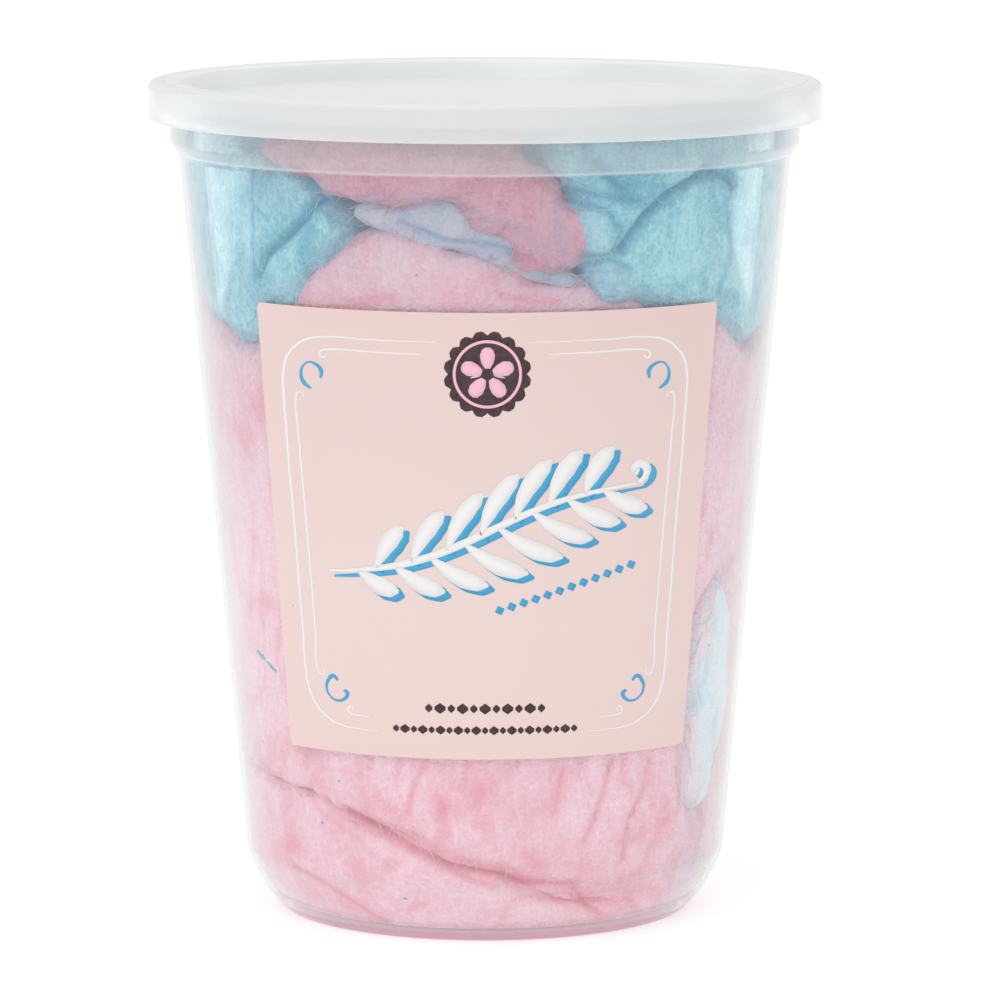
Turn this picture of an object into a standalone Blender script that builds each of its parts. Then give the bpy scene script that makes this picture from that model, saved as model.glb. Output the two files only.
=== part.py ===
"""Round plastic tub of cotton candy with a snap-on lid and a wrap label.

Units are metres, +Z is up and the label faces -Y. The origin is on the
standing surface, on the tub's axis.
"""

import math

import bmesh
import bpy
import numpy as np

MM = 0.001

# Overall sizes
TOTAL_HEIGHT = 146.4 * MM
LID_RADIUS = 59.0 * MM
LID_BOTTOM = 139.7 * MM

# Tub wall, a straight cone between the foot and the collar
WALL_SLOPE = 0.0928
WALL_RADIUS_AT_TOP = 54.82 * MM
WALL_THICKNESS = 0.75 * MM
SIDES = 48

# Tub foot
BASE_RADIUS = 35.5 * MM
FOOT_HEIGHT = 10.5 * MM
FOOT_FLARE = 0.8
FOOT_CREASE_FLARE = 0.25
RING_WIDTH = 1.6 * MM
RECESS_DEPTH = 1.2 * MM
FLOOR_HEIGHT = 2.0 * MM
FLOOR_RADIUS = 36.0 * MM

# Tub collar and rim, under the lid
LEDGE_BOTTOM = 133.4 * MM
LEDGE_TOP = 135.9 * MM
COLLAR_RADIUS = 55.2 * MM
RIM_BOTTOM = 142.6 * MM
RIM_TOP = 144.9 * MM
RIM_RADIUS = 57.6 * MM

# Lid
LID_THICKNESS = 0.8 * MM
LID_CORNER = 1.3 * MM
LID_HEM = 0.9 * MM
PANEL_RADIUS = 52.4 * MM
PANEL_DEPTH = 3.8 * MM
PLUG_OUTER_RADIUS = 53.9 * MM

# Label
LABEL_BOTTOM = 33.4 * MM
LABEL_TOP = 110.8 * MM
LABEL_HALF_ANGLE = math.radians(50.0)
LABEL_THICKNESS = 0.25 * MM
LABEL_CORNER = 1.6 * MM
LABEL_COLUMNS = 24
CORNER_COLUMNS = 3

# Floss: the space it fills, less its slack from the wall and the dimples on its top
CLEARANCE = 0.32 * MM
FLOSS_TOP = 141.0 * MM
FLOSS_BOTTOM = FLOOR_HEIGHT + CLEARANCE
SLACK_FRONT = 0.5 * MM
SLACK_SIDE = 1.0 * MM
LUMP = 0.9 * MM
TOP_DIMPLE = 1.2 * MM

# Floss: lobes as a share of the wall's radius, how softly they blend, and the borders of wads
LOBE_DEPTH = 0.86
LOBE_BLEND = 8.0 * MM
ROUNDING = 1.8 * MM
BORDER_WAVE = 0.6 * MM
BORDER_GAP = 0.55 * MM

# Floss: size of the grid that its surface is read from, and the share of faces kept
CELL = 3.5 * MM
KEPT_SHARE = 0.24
CORNERS = [(x, y, z) for x in (0, 1) for y in (0, 1) for z in (0, 1)]

# Colours, as linear red, green and blue
CLEAR_PLASTIC = (0.90, 0.91, 0.93)
MILKY_PLASTIC = (0.80, 0.83, 0.86)
LABEL_PAPER = (0.85, 0.72, 0.69)
PINK_SUGAR = (0.85, 0.47, 0.56)
BLUE_SUGAR = (0.37, 0.66, 0.76)

# Wads of floss, each with its lobes at (angle in degrees from the front, height in mm)
PINK_WADS = {
    "pink_floss_crown": [(-42, 138), (-28, 136), (-15, 133), (-5, 130), (4, 127.5), (12, 124), (15, 119)],
    "pink_floss_body": [
        (-38, 110), (-26, 116), (-17, 120.5), (-8, 118), (1, 114.5), (9, 111), (15, 109), (30, 107), (54, 98),
        (-66, 96), (-88, 90), (78, 92), (0, 78), (-45, 60), (45, 62), (-75, 52), (80, 66), (-78, 41), (-48, 39),
        (-22, 31), (2, 22), (22, 17), (40, 46), (42, 30), (92, 46), (50, 14), (85, 20),
    ],
    "pink_floss_base": [(-80, 13), (-50, 12), (-24, 10), (0, 5), (24, 0)],
    "pink_floss_back": [(130, 90), (155, 86), (180, 84), (205, 86), (230, 90), (160, 55), (200, 55)],
}
BLUE_WADS = {
    "blue_floss_left": [(-76, 132), (-50, 128), (-35, 125), (-44, 118), (-60, 112)],
    "blue_floss_middle": [(-23, 127), (-13, 126), (-5, 123.5), (3, 120.5), (10, 116.5)],
    "blue_floss_right": [(19, 138), (40, 136), (27, 126), (42, 121), (66, 110), (34, 116)],
    "blue_floss_back": [(110, 130), (145, 128), (180, 125), (215, 128), (250, 132)],
    "blue_floss_low": [(65, 53), (66, 44), (66, 35), (64, 27)],
}

# Heights in mm of the body's lobes on the tub's axis
CORE_HEIGHTS = (25, 50, 75, 100, 125)


def wall_radius(height):
    """Outer radius of the tub's straight wall at a height."""
    return WALL_RADIUS_AT_TOP - WALL_SLOPE * (TOTAL_HEIGHT - height)


def curve_between(start, control, end, steps):
    """Points after start of a quadratic curve to end."""
    points = []
    for step in range(1, steps + 1):
        t = step / steps
        weights = ((1 - t) ** 2, 2 * t * (1 - t), t * t)
        points.append(tuple(
            weights[0] * a + weights[1] * b + weights[2] * c
            for a, b, c in zip(start, control, end)
        ))
    return points


def foot_curve(base_radius, bottom, top_radius, top, steps):
    """Foot outline from its base ring up to the crease under the wall."""
    start = (base_radius, bottom)
    end = (top_radius, top)
    rise = top - bottom
    meet = (top_radius - FOOT_CREASE_FLARE * rise - base_radius) / (FOOT_FLARE - FOOT_CREASE_FLARE)
    control = (base_radius + FOOT_FLARE * meet, bottom + meet)
    return [start] + curve_between(start, control, end, steps)


def inner_foot():
    """Foot outline on the inside, from the floor's edge up to the crease."""
    crease_radius = wall_radius(FOOT_HEIGHT) - WALL_THICKNESS
    return foot_curve(FLOOR_RADIUS, FLOOR_HEIGHT, crease_radius, FOOT_HEIGHT, 3)


def material(name, colour, roughness, alpha=1.0):
    """Principled material with one plain colour."""
    made = bpy.data.materials.new(name)
    made.use_nodes = True
    shader = made.node_tree.nodes["Principled BSDF"]
    shader.inputs["Base Color"].default_value = (*colour, 1.0)
    shader.inputs["Roughness"].default_value = roughness
    shader.inputs["Metallic"].default_value = 0.0
    shader.inputs["Alpha"].default_value = alpha
    made.diffuse_color = (*colour, alpha)
    return made


def add_object(name, vertices, edges, faces, skin):
    """New object at the origin from mesh data."""
    mesh = bpy.data.meshes.new(name)
    mesh.from_pydata(vertices, edges, faces)
    mesh.materials.append(skin)
    made = bpy.data.objects.new(name, mesh)
    bpy.context.scene.collection.objects.link(made)
    return made


def shade_round(made, crease_degrees):
    """Smooth shading that keeps creases above an angle."""
    made.data.shade_smooth()
    made.data.set_sharp_from_angle(angle=math.radians(crease_degrees))


def turned(name, profile, skin):
    """Solid turned about Z from a profile that starts and ends on the axis."""
    vertices = [(radius, 0.0, height) for radius, height in profile]
    edges = [(index, index + 1) for index in range(len(profile) - 1)]
    made = add_object(name, vertices, edges, [], skin)
    screw = made.modifiers.new("turn", "SCREW")
    screw.axis = "Z"
    screw.angle = math.tau
    screw.steps = SIDES
    screw.render_steps = SIDES
    screw.use_merge_vertices = True
    screw.merge_threshold = 0.0001
    screw.use_smooth_shade = True
    return made


def tub_profile():
    """Half section of the tub: inside from floor to rim, then outside down to the base."""
    inner = [(0.0, FLOOR_HEIGHT)] + inner_foot() + [
        (wall_radius(LEDGE_BOTTOM) - WALL_THICKNESS, LEDGE_BOTTOM),
        (COLLAR_RADIUS - WALL_THICKNESS, LEDGE_TOP),
        (COLLAR_RADIUS - WALL_THICKNESS, RIM_TOP),
    ]
    rim = [
        (RIM_RADIUS - 0.6 * MM, RIM_TOP),
        (RIM_RADIUS, RIM_TOP - 0.6 * MM),
        (RIM_RADIUS, RIM_BOTTOM + 0.4 * MM),
        (RIM_RADIUS - 0.4 * MM, RIM_BOTTOM),
        (COLLAR_RADIUS, RIM_BOTTOM),
    ]
    ledge = [
        (COLLAR_RADIUS, LEDGE_TOP),
        (COLLAR_RADIUS - 0.4 * MM, LEDGE_TOP - 0.9 * MM),
        (wall_radius(LEDGE_BOTTOM), LEDGE_BOTTOM),
    ]
    outer_foot = foot_curve(BASE_RADIUS, 0.0, wall_radius(FOOT_HEIGHT), FOOT_HEIGHT, 4)
    base = [
        (BASE_RADIUS - RING_WIDTH, 0.0),
        (BASE_RADIUS - RING_WIDTH - RECESS_DEPTH, RECESS_DEPTH),
        (0.0, RECESS_DEPTH),
    ]
    return inner + rim + ledge + outer_foot[::-1] + base


def lid_profile():
    """Half section of the lid: panel, rim and skirt outside, then back along the underside."""
    panel_top = TOTAL_HEIGHT - PANEL_DEPTH
    rim_inner = PANEL_RADIUS + 1.0 * MM
    outside = [
        (0.0, panel_top),
        (PANEL_RADIUS - 0.6 * MM, panel_top),
        (PANEL_RADIUS, panel_top + 0.5 * MM),
        (rim_inner - 0.3 * MM, TOTAL_HEIGHT - 0.4 * MM),
        (rim_inner + 0.5 * MM, TOTAL_HEIGHT),
    ]
    corner_start = (LID_RADIUS - LID_CORNER, TOTAL_HEIGHT)
    corner = [corner_start] + curve_between(
        corner_start,
        (LID_RADIUS, TOTAL_HEIGHT),
        (LID_RADIUS, TOTAL_HEIGHT - LID_CORNER),
        3,
    )
    hem_start = (LID_RADIUS, LID_BOTTOM + LID_HEM)
    hem = [hem_start] + curve_between(
        hem_start,
        (LID_RADIUS, LID_BOTTOM),
        (LID_RADIUS - LID_HEM, LID_BOTTOM),
        2,
    )
    under = TOTAL_HEIGHT - LID_THICKNESS
    skirt_inner = LID_RADIUS - LID_THICKNESS
    inside = [
        (RIM_RADIUS - 0.4 * MM, LID_BOTTOM),
        (RIM_RADIUS - 0.4 * MM, LID_BOTTOM + 1.2 * MM),
        (skirt_inner, RIM_BOTTOM + 0.2 * MM),
        (skirt_inner, under - 0.5 * MM),
        (skirt_inner - 0.5 * MM, under),
        (PLUG_OUTER_RADIUS + 0.2 * MM, under),
        (PLUG_OUTER_RADIUS, under - 0.4 * MM),
        (PANEL_RADIUS + LID_THICKNESS, panel_top),
        (PANEL_RADIUS + 0.2 * MM, panel_top - LID_THICKNESS),
        (0.0, panel_top - LID_THICKNESS),
    ]
    return outside + corner + hem + inside


def label_columns():
    """(angle, bottom, top) of the label's columns, with rounded corners at both ends."""
    mean_radius = wall_radius((LABEL_BOTTOM + LABEL_TOP) / 2)
    corner_angle = LABEL_CORNER / mean_radius
    left_end = []
    for step in range(CORNER_COLUMNS + 1):
        turn = step / CORNER_COLUMNS * math.pi / 2
        inset = LABEL_CORNER * (1 - math.sin(turn))
        angle = -LABEL_HALF_ANGLE + corner_angle * (1 - math.cos(turn))
        left_end.append((angle, LABEL_BOTTOM + inset, LABEL_TOP - inset))
    straight_half = LABEL_HALF_ANGLE - corner_angle
    middle = []
    for step in range(1, LABEL_COLUMNS):
        angle = -straight_half + 2 * straight_half * step / LABEL_COLUMNS
        middle.append((angle, LABEL_BOTTOM, LABEL_TOP))
    right_end = [(-angle, bottom, top) for angle, bottom, top in reversed(left_end)]
    return left_end + middle + right_end


def make_label(skin):
    """Curved label that lies around the front of the wall."""
    vertices = []
    for angle, bottom, top in label_columns():
        for gap in (CLEARANCE, CLEARANCE + LABEL_THICKNESS):
            for height in (bottom, top):
                radius = wall_radius(height) + gap
                vertices.append((radius * math.sin(angle), -radius * math.cos(angle), height))
    count = len(vertices) // 4
    faces = []
    for column in range(count - 1):
        here = 4 * column
        after = here + 4
        faces.append((here + 2, after + 2, after + 3, here + 3))
        faces.append((here, here + 1, after + 1, after))
        faces.append((here + 1, here + 3, after + 3, after + 1))
        faces.append((here, after, after + 2, here + 2))
    last = 4 * (count - 1)
    faces.append((0, 2, 3, 1))
    faces.append((last, last + 1, last + 3, last + 2))
    label = add_object("label", vertices, [], faces, skin)
    shade_round(label, 40)


def lobe_centre(angle_degrees, height_mm):
    """Centre of one lobe of floss, a little inside the wall."""
    angle = math.radians(angle_degrees)
    radius = LOBE_DEPTH * wall_radius(height_mm * MM)
    return (radius * math.sin(angle), -radius * math.cos(angle), height_mm * MM)


def inner_radius(height):
    """Inner radius of the tub at heights given as an array."""
    wall = wall_radius(height) - WALL_THICKNESS
    foot_radii, foot_heights = zip(*inner_foot())
    return np.where(height < FOOT_HEIGHT, np.interp(height, foot_heights, foot_radii), wall)


def room_in_tub(points):
    """Distances from points to the limits that the tub and lid set for the floss."""
    x, y, z = points[..., 0], points[..., 1], points[..., 2]
    angle = np.arctan2(x, -y)
    sideways = np.sin(angle) ** 2
    lumps = np.sin(5 * angle + 90 * z) * np.sin(110 * z + 2 * np.sin(3 * angle))
    slack = SLACK_FRONT + SLACK_SIDE * sideways + LUMP * (0.5 + 0.5 * lumps)
    wall = (inner_radius(z) - CLEARANCE - np.hypot(x, y) - slack) * math.cos(math.pi / SIDES)
    floor = z - FLOSS_BOTTOM
    dimples = TOP_DIMPLE * (1 + np.sin(130 * x + 1) * np.sin(110 * y + 2))
    ceiling = FLOSS_TOP - dimples - z
    return [wall, floor, ceiling]


def soft_nearest(points, lobes):
    """Squared distance from points to a wad's lobes, and the lobe centre nearest, both blended."""
    lobes = np.array(lobes)
    squares = np.stack([np.sum((points - lobe) ** 2, axis=-1) for lobe in lobes])
    smallest = squares.min(axis=0)
    weights = np.exp((smallest - squares) / LOBE_BLEND ** 2)
    total = weights.sum(axis=0)
    centre = np.tensordot(weights, lobes, axes=(0, 0)) / total[..., None]
    return smallest - LOBE_BLEND ** 2 * np.log(total), centre


def room_beside(points, own, other, sign):
    """Distance from points to the wavy border between two wads."""
    own_square, own_centre = soft_nearest(points, own)
    other_square, other_centre = soft_nearest(points, other)
    apart = np.maximum(np.linalg.norm(own_centre - other_centre, axis=-1), LOBE_BLEND)
    wave = np.sin(150 * points[..., 0] + 60 * points[..., 1]) * np.sin(170 * points[..., 2])
    return (other_square - own_square) / (2 * apart) + sign * BORDER_WAVE * wave - BORDER_GAP


def soft_minimum(distances):
    """Smallest distance, rounded off where two are alike."""
    total = sum(np.exp(-distance / ROUNDING) for distance in distances)
    return -ROUNDING * np.log(total)


def wad_room(points, name, lobes_of):
    """How far inside its own share of the tub each point is."""
    names = list(lobes_of)
    limits = room_in_tub(points)
    for other in names:
        if other != name:
            sign = 1 if names.index(name) < names.index(other) else -1
            limits.append(room_beside(points, lobes_of[name], lobes_of[other], sign))
    return soft_minimum(limits)


def corner_of_squares(face, row, column):
    """Values at one corner of every square in a stack of grid faces."""
    rows = slice(row, face.shape[1] - 1 + row)
    columns = slice(column, face.shape[2] - 1 + column)
    return face[:, rows, columns]


def without_pinches(room):
    """Room values with grid points taken out where the surface would touch itself at an edge."""
    room = room.copy()
    pinched = True
    while pinched:
        pinched = False
        for normal in range(3):
            face = np.moveaxis(room, normal, 0)
            for side in (0, 1):
                end = corner_of_squares(face, 0, side)
                far_end = corner_of_squares(face, 1, 1 - side)
                beside = corner_of_squares(face, 0, 1 - side)
                far_beside = corner_of_squares(face, 1, side)
                found = (end > 0) & (far_end > 0) & (beside <= 0) & (far_beside <= 0)
                pinched = pinched or bool(found.any())
                end[found] = -CLEARANCE
    return room


def mixed_cells(inside):
    """Which grid cells have corners on both sides of the surface."""
    corners = np.zeros(tuple(size - 1 for size in inside.shape), dtype=int)
    for shift in CORNERS:
        window = tuple(slice(step, step + size - 1) for step, size in zip(shift, inside.shape))
        corners += inside[window]
    return (corners > 0) & (corners < 8)


def crossing_mean(room, cells):
    """Mean, in grid steps, of the points where the surface cuts each cell's edges."""
    total = np.zeros((len(cells), 3))
    count = np.zeros((len(cells), 1))
    for start in CORNERS:
        for axis in range(3):
            if start[axis]:
                continue
            end = np.array(start) + np.eye(3, dtype=int)[axis]
            near = room[tuple((cells + start).T)]
            far = room[tuple((cells + end).T)]
            cut = (near > 0) != (far > 0)
            share = np.where(cut, near / np.where(cut, near - far, 1.0), 0.0)
            point = cells + start + share[:, None] * np.eye(3)[axis]
            total += np.where(cut[:, None], point, 0.0)
            count += cut[:, None]
    return total / count


def surface_faces(inside, cell_index):
    """One quad for each grid edge that the surface cuts, over the four cells around it."""
    faces = []
    for axis in range(3):
        side, up = (axis + 1) % 3, (axis + 2) % 3
        step = np.eye(3, dtype=int)
        start = np.argwhere(np.diff(inside.astype(int), axis=axis) != 0)
        leaving = inside[tuple(start.T)]
        ring = [start, start - step[side], start - step[side] - step[up], start - step[up]]
        quads = np.stack([cell_index[tuple(cell.T)] for cell in ring], axis=1)
        quads[~leaving] = quads[~leaving][:, ::-1]
        faces += quads.tolist()
    return faces


def keep_largest_body(shape):
    """Delete all but the largest connected body of a bmesh."""
    unseen = set(shape.verts)
    bodies = []
    while unseen:
        queue = [unseen.pop()]
        body = set(queue)
        while queue:
            for edge in queue.pop().link_edges:
                for vertex in edge.verts:
                    if vertex in unseen:
                        unseen.remove(vertex)
                        body.add(vertex)
                        queue.append(vertex)
        bodies.append(body)
    largest = max(bodies, key=len)
    extra = [vertex for body in bodies if body is not largest for vertex in body]
    bmesh.ops.delete(shape, geom=extra, context="VERTS")


def make_wad(name, lobes_of, skin):
    """Closed, softly rounded lump of floss that fills its share of the tub."""
    low = np.array([-LID_RADIUS, -LID_RADIUS, 0.0])
    across = math.ceil(2 * LID_RADIUS / CELL)
    counts = (across, across, math.ceil(TOTAL_HEIGHT / CELL))
    grid = np.stack(np.meshgrid(*(np.arange(count) for count in counts), indexing="ij"), axis=-1)
    room = without_pinches(wad_room(low + CELL * grid, name, lobes_of))
    inside = room > 0
    cells = np.argwhere(mixed_cells(inside))
    cell_index = np.full(room.shape, -1)
    cell_index[tuple(cells.T)] = np.arange(len(cells))
    vertices = low + CELL * crossing_mean(room, cells)
    wad = add_object(name, vertices.tolist(), [], surface_faces(inside, cell_index), skin)
    shape = bmesh.new()
    shape.from_mesh(wad.data)
    keep_largest_body(shape)
    shape.to_mesh(wad.data)
    shape.free()
    thin = wad.modifiers.new("thin out", "DECIMATE")
    thin.ratio = KEPT_SHARE
    shade_round(wad, 80)


def main():
    for old in list(bpy.data.objects):
        bpy.data.objects.remove(old, do_unlink=True)
    turned("tub", tub_profile(), material("clear plastic", CLEAR_PLASTIC, 0.08, 0.3))
    turned("lid", lid_profile(), material("milky plastic", MILKY_PLASTIC, 0.25, 0.7))
    make_label(material("label paper", LABEL_PAPER, 0.5))
    lobes_of = {
        name: [lobe_centre(*lobe) for lobe in lobes]
        for name, lobes in (PINK_WADS | BLUE_WADS).items()
    }
    lobes_of["pink_floss_body"] += [(0.0, 0.0, height * MM) for height in CORE_HEIGHTS]
    for name in lobes_of:
        colour = PINK_SUGAR if name in PINK_WADS else BLUE_SUGAR
        make_wad(name, lobes_of, material(name, colour, 0.9))


main()
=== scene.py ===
"""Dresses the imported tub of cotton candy: plastic tub and lid, printed label and packed floss.

Laid out as an add-on and run as a script. Units are metres, +Z is up and the label faces -Y.
"""

import math

import bmesh
import bpy
import numpy as np
from bpy.props import FloatProperty, FloatVectorProperty, IntProperty, PointerProperty
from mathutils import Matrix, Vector
from mathutils.bvhtree import BVHTree


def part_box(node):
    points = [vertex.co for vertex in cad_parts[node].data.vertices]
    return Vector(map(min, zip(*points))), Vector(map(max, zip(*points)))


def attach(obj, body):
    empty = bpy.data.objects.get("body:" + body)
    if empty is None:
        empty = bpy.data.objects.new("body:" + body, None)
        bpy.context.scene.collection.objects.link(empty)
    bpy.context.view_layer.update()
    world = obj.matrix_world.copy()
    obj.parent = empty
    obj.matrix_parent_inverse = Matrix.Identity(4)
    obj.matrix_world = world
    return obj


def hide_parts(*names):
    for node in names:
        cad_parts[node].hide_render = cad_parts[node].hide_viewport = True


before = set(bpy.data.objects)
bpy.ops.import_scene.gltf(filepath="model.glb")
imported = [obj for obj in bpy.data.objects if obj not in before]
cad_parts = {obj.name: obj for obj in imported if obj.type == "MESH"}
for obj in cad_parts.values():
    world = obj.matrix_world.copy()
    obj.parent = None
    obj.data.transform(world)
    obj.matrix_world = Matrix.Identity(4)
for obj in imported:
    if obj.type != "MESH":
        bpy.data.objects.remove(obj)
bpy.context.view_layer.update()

bl_info = {
    "name": "Cotton Candy Tub",
    "version": (1, 0, 0),
    "blender": (4, 5, 0),
    "location": "View3D > Sidebar > Candy Tub",
    "description": "Models the plastic, label and floss of a tub of cotton candy",
    "category": "Object",
}

MM = 0.001
LID_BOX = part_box("lid")
LABEL_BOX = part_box("label")
HEIGHT = LID_BOX[1].z
WALL_SLOPE = 0.0928
WALL_RADIUS_AT_TOP = 54.82 * MM
WALL = 0.75 * MM
CREASE_HEIGHT = 10.5 * MM
FOOT_RING = 1.6 * MM
SEAM = 0.005 * MM
SAME = 0.01 * MM
SHELL_CREASE = math.radians(32)
LABEL_CREASE = math.radians(30)


def linear(red, green, blue):
    """Linear colour from screen values of 0 to 255."""
    return tuple(((value / 255 + 0.055) / 1.055) ** 2.4 for value in (red, green, blue))


def wall_radius(height):
    """Outer radius of the tub's straight wall at a height."""
    return WALL_RADIUS_AT_TOP - WALL_SLOPE * (HEIGHT - height)


# ---- settings


def length(name, description, default):
    """Setting for a length."""
    return FloatProperty(
        name=name, description=description, default=default, min=0.0, unit="LENGTH", precision=5,
    )


def bearing(name, description, degrees):
    """Setting for an angle."""
    return FloatProperty(name=name, description=description, default=math.radians(degrees), subtype="ANGLE")


def share(name, description, default, top=1.0):
    """Setting for a share or strength."""
    return FloatProperty(name=name, description=description, default=default, min=0.0, max=top)


def colour(name, description, default):
    """Setting for a colour."""
    return FloatVectorProperty(
        name=name, description=description, default=default, min=0.0, max=1.0, size=3, subtype="COLOR",
    )


class PlasticSettings(bpy.types.PropertyGroup):
    """Sizes and finish of the tub and its lid."""

    sides: IntProperty(name="Sides", description="Steps round the tub and lid", default=160, min=48, max=256)
    tub_tint: colour("Tub tint", "Colour of the tub's plastic", linear(232, 236, 238))
    lid_tint: colour("Lid tint", "Colour of the lid's plastic", linear(247, 249, 250))
    tub_haze: share("Tub haze", "How milky the wall is seen straight on", 0.045)
    tub_edge_haze: share("Tub edge haze", "How milky the wall is seen edge on", 0.8)
    # The ledge's narrow milkier band is a painted highlight
    collar_haze: share("Collar haze", "How much milkier the collar, its ledge and the foot are", 0.27)
    # painted: the floss seen through the foot and its shade at the floor are painted on the foot's ring as
    # this colour
    foot_tint: colour("Foot tint", "Colour that the floss lends to the foot's ring", linear(214, 155, 172))
    foot_haze: share("Foot haze", "How milky the ring of the foot is", 0.6)
    lid_haze: share("Lid haze", "How milky the lid is seen straight on", 0.42)
    panel_haze: share("Panel haze", "How much milkier the lid's panel is", 0.3)
    lid_gloss: share("Lid gloss roughness", "Roughness of the lid", 0.28)
    lid_edge_haze: share("Lid edge haze", "How milky the lid is seen edge on", 0.68)
    gloss: share("Gloss roughness", "Roughness of the moulded surface", 0.05)


class LabelSettings(bpy.types.PropertyGroup):
    """Size, paper and inks of the label."""

    from_angle: bearing("From", "Angle of the label's left end from the front", -48.8)
    to_angle: bearing("To", "Angle of the label's right end from the front", 50.0)
    bottom: length("Bottom", "Height of the label's lower edge", LABEL_BOX[0].z)
    top: length("Top", "Height of the label's upper edge", LABEL_BOX[1].z)
    thickness: length("Thickness", "Thickness of the paper and its glue", 0.2 * MM)
    corner: length("Corner", "Radius of the label's corners", 1.5 * MM)
    paper: colour("Paper", "Colour of the paper", linear(233, 211, 207))
    paper_edge: colour("Paper edge", "Warmer colour near the paper's edge", linear(235, 208, 203))
    white: colour("White ink", "Ink of the border", linear(240, 238, 236))
    blue: colour("Blue ink", "Ink of the scrolls", linear(58, 166, 214))
    brown: colour("Brown ink", "Ink of the badge", linear(56, 27, 33))
    rose: colour("Rose ink", "Ink inside the badge", linear(246, 190, 206))


class FlossSettings(bpy.types.PropertyGroup):
    """Surface and colours of the floss."""

    voxel: length("Voxel", "Size of the grid that a small wad is remeshed on", 0.5 * MM)
    swell: length("Swell", "How far a wad swells under its neighbours", 2.0 * MM)
    groove: length("Grooves", "Depth of the groove where two wads meet", 0.9 * MM)
    puff: length("Puffs", "Height of the soft puffs", 0.75 * MM)
    wrinkle: length("Wrinkles", "Depth of the drawn-out wrinkles", 0.36 * MM)
    crumb: length("Fine lumps", "Height of the fine lumps", 0.2 * MM)
    fibre_room: length("Fibre room", "Side of the square of floss for each loose fibre", 2.5 * MM)
    wall_gap: length("Wall gap", "Smallest gap between floss and wall", 0.2 * MM)
    # painted shade: the pink floss is multiplied by this colour towards the lid, for the lid's shade
    high_shade: colour("High shade", "What pink floss is dulled by near the lid", linear(226, 232, 234))
    # painted light: the floss gives off a little light of its own colour, lifting its shadows as light
    # scattered through it would
    painted_glow: share("Glow", "Share of light that the floss passes on into its own shadows", 0.12)


# Looks of the floss, each with its colours: thin and lit (partly a painted highlight), plain, deep in a
# crease (painted shade), and where colours mingle; the crown's look is the pink with painted shade, for the
# shade under the lid
TONES = ("light", "plain", "deep", "mingled")
LOOKS = {
    "pink": ((244, 209, 218), (236, 184, 196), (226, 112, 138), (165, 158, 188)),
    # painted shade: the pink darkened for the crown, which lies in the lid's shade
    "shaded_pink": ((208, 155, 170), (188, 128, 147), (200, 118, 140), (165, 158, 188)),
    "blue": ((160, 215, 224), (98, 178, 192), (22, 140, 178), (158, 170, 196)),
    "veil": ((194, 189, 198), (164, 170, 183), (22, 140, 178), (165, 158, 188)),
    "pale": ((224, 236, 240), (212, 230, 237), (98, 178, 192), (244, 198, 210)),
}
for look, values in LOOKS.items():
    for tone, value in zip(TONES, values):
        FlossSettings.__annotations__[f"{look}_{tone}"] = colour(
            f"{look.title()}, {tone}", f"Colour of the {look} floss, {tone}", linear(*value),
        )


class StageSettings(bpy.types.PropertyGroup):
    """Camera, floor and lights."""

    camera_distance: length("Camera distance", "Camera's distance in front of the axis", 1.117)
    camera_height: length("Camera height", "Camera's height", 0.2255)
    camera_tilt: bearing("Camera tilt", "How far the camera looks down", 7.78)
    lens: FloatProperty(name="Lens", description="Focal length in mm", default=232.0, min=10.0)
    floor: colour("Floor", "Colour of the floor", (0.5, 0.5, 0.5))
    daylight: share("Daylight", "Strength of the plain light from all round", 0.82, 4.0)
    floor_glow: share("Floor glow", "Light that the floor gives off, as a lit table does", 0.6)
    key_power: share("Key power", "Watts of the soft light above and in front", 1.4, 200.0)
    side_power: share("Side power", "Watts of each strip light beside the tub", 0.55, 200.0)


# ---- modelling helpers


def deselect():
    """Nothing selected, in object mode."""
    if bpy.context.object and bpy.context.object.mode != "OBJECT":
        bpy.ops.object.mode_set(mode="OBJECT")
    bpy.ops.object.select_all(action="DESELECT")


def activate(piece):
    """Only this piece selected and active."""
    deselect()
    piece.select_set(True)
    bpy.context.view_layer.objects.active = piece


def to_edit():
    """Edit mode with everything selected."""
    bpy.ops.object.mode_set(mode="EDIT")
    bpy.ops.mesh.select_all(action="SELECT")


def to_object():
    """Back to object mode."""
    bpy.ops.object.mode_set(mode="OBJECT")


def named(name):
    """Names the object that an operator has just added, and its mesh."""
    piece = bpy.context.object
    piece.name = name
    piece.data.name = name
    return piece


def select_vertices(piece, test):
    """In edit mode, selects only the vertices that pass the test."""
    bpy.ops.mesh.select_all(action="DESELECT")
    mesh = bmesh.from_edit_mesh(piece.data)
    chosen = [vertex for vertex in mesh.verts if test(vertex)]
    if not chosen:
        raise RuntimeError(f"nothing to select on {piece.name}")
    for vertex in chosen:
        vertex.select_set(True)
    mesh.select_flush(True)
    bmesh.update_edit_mesh(piece.data)


def apply_modifier(piece, kind, **values):
    """Adds a modifier with these values and applies it."""
    activate(piece)
    modifier = piece.modifiers.new(kind.title(), kind)
    for key, value in values.items():
        setattr(modifier, key, value)
    bpy.ops.object.modifier_apply(modifier=modifier.name)


def activate_with(piece):
    """Makes a piece active and keeps what else is selected."""
    piece.select_set(True)
    bpy.context.view_layer.objects.active = piece


def linked(name, mesh):
    """New active object that has this mesh."""
    piece = bpy.data.objects.new(name, mesh)
    bpy.context.scene.collection.objects.link(piece)
    activate(piece)
    return piece


def finish_piece(piece, slot, *nodes):
    """Hangs the piece on the root and hides the imported parts that it stands for; slot is not used."""
    deselect()
    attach(piece, "root")
    if nodes:
        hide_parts(*nodes)
    return piece


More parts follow.
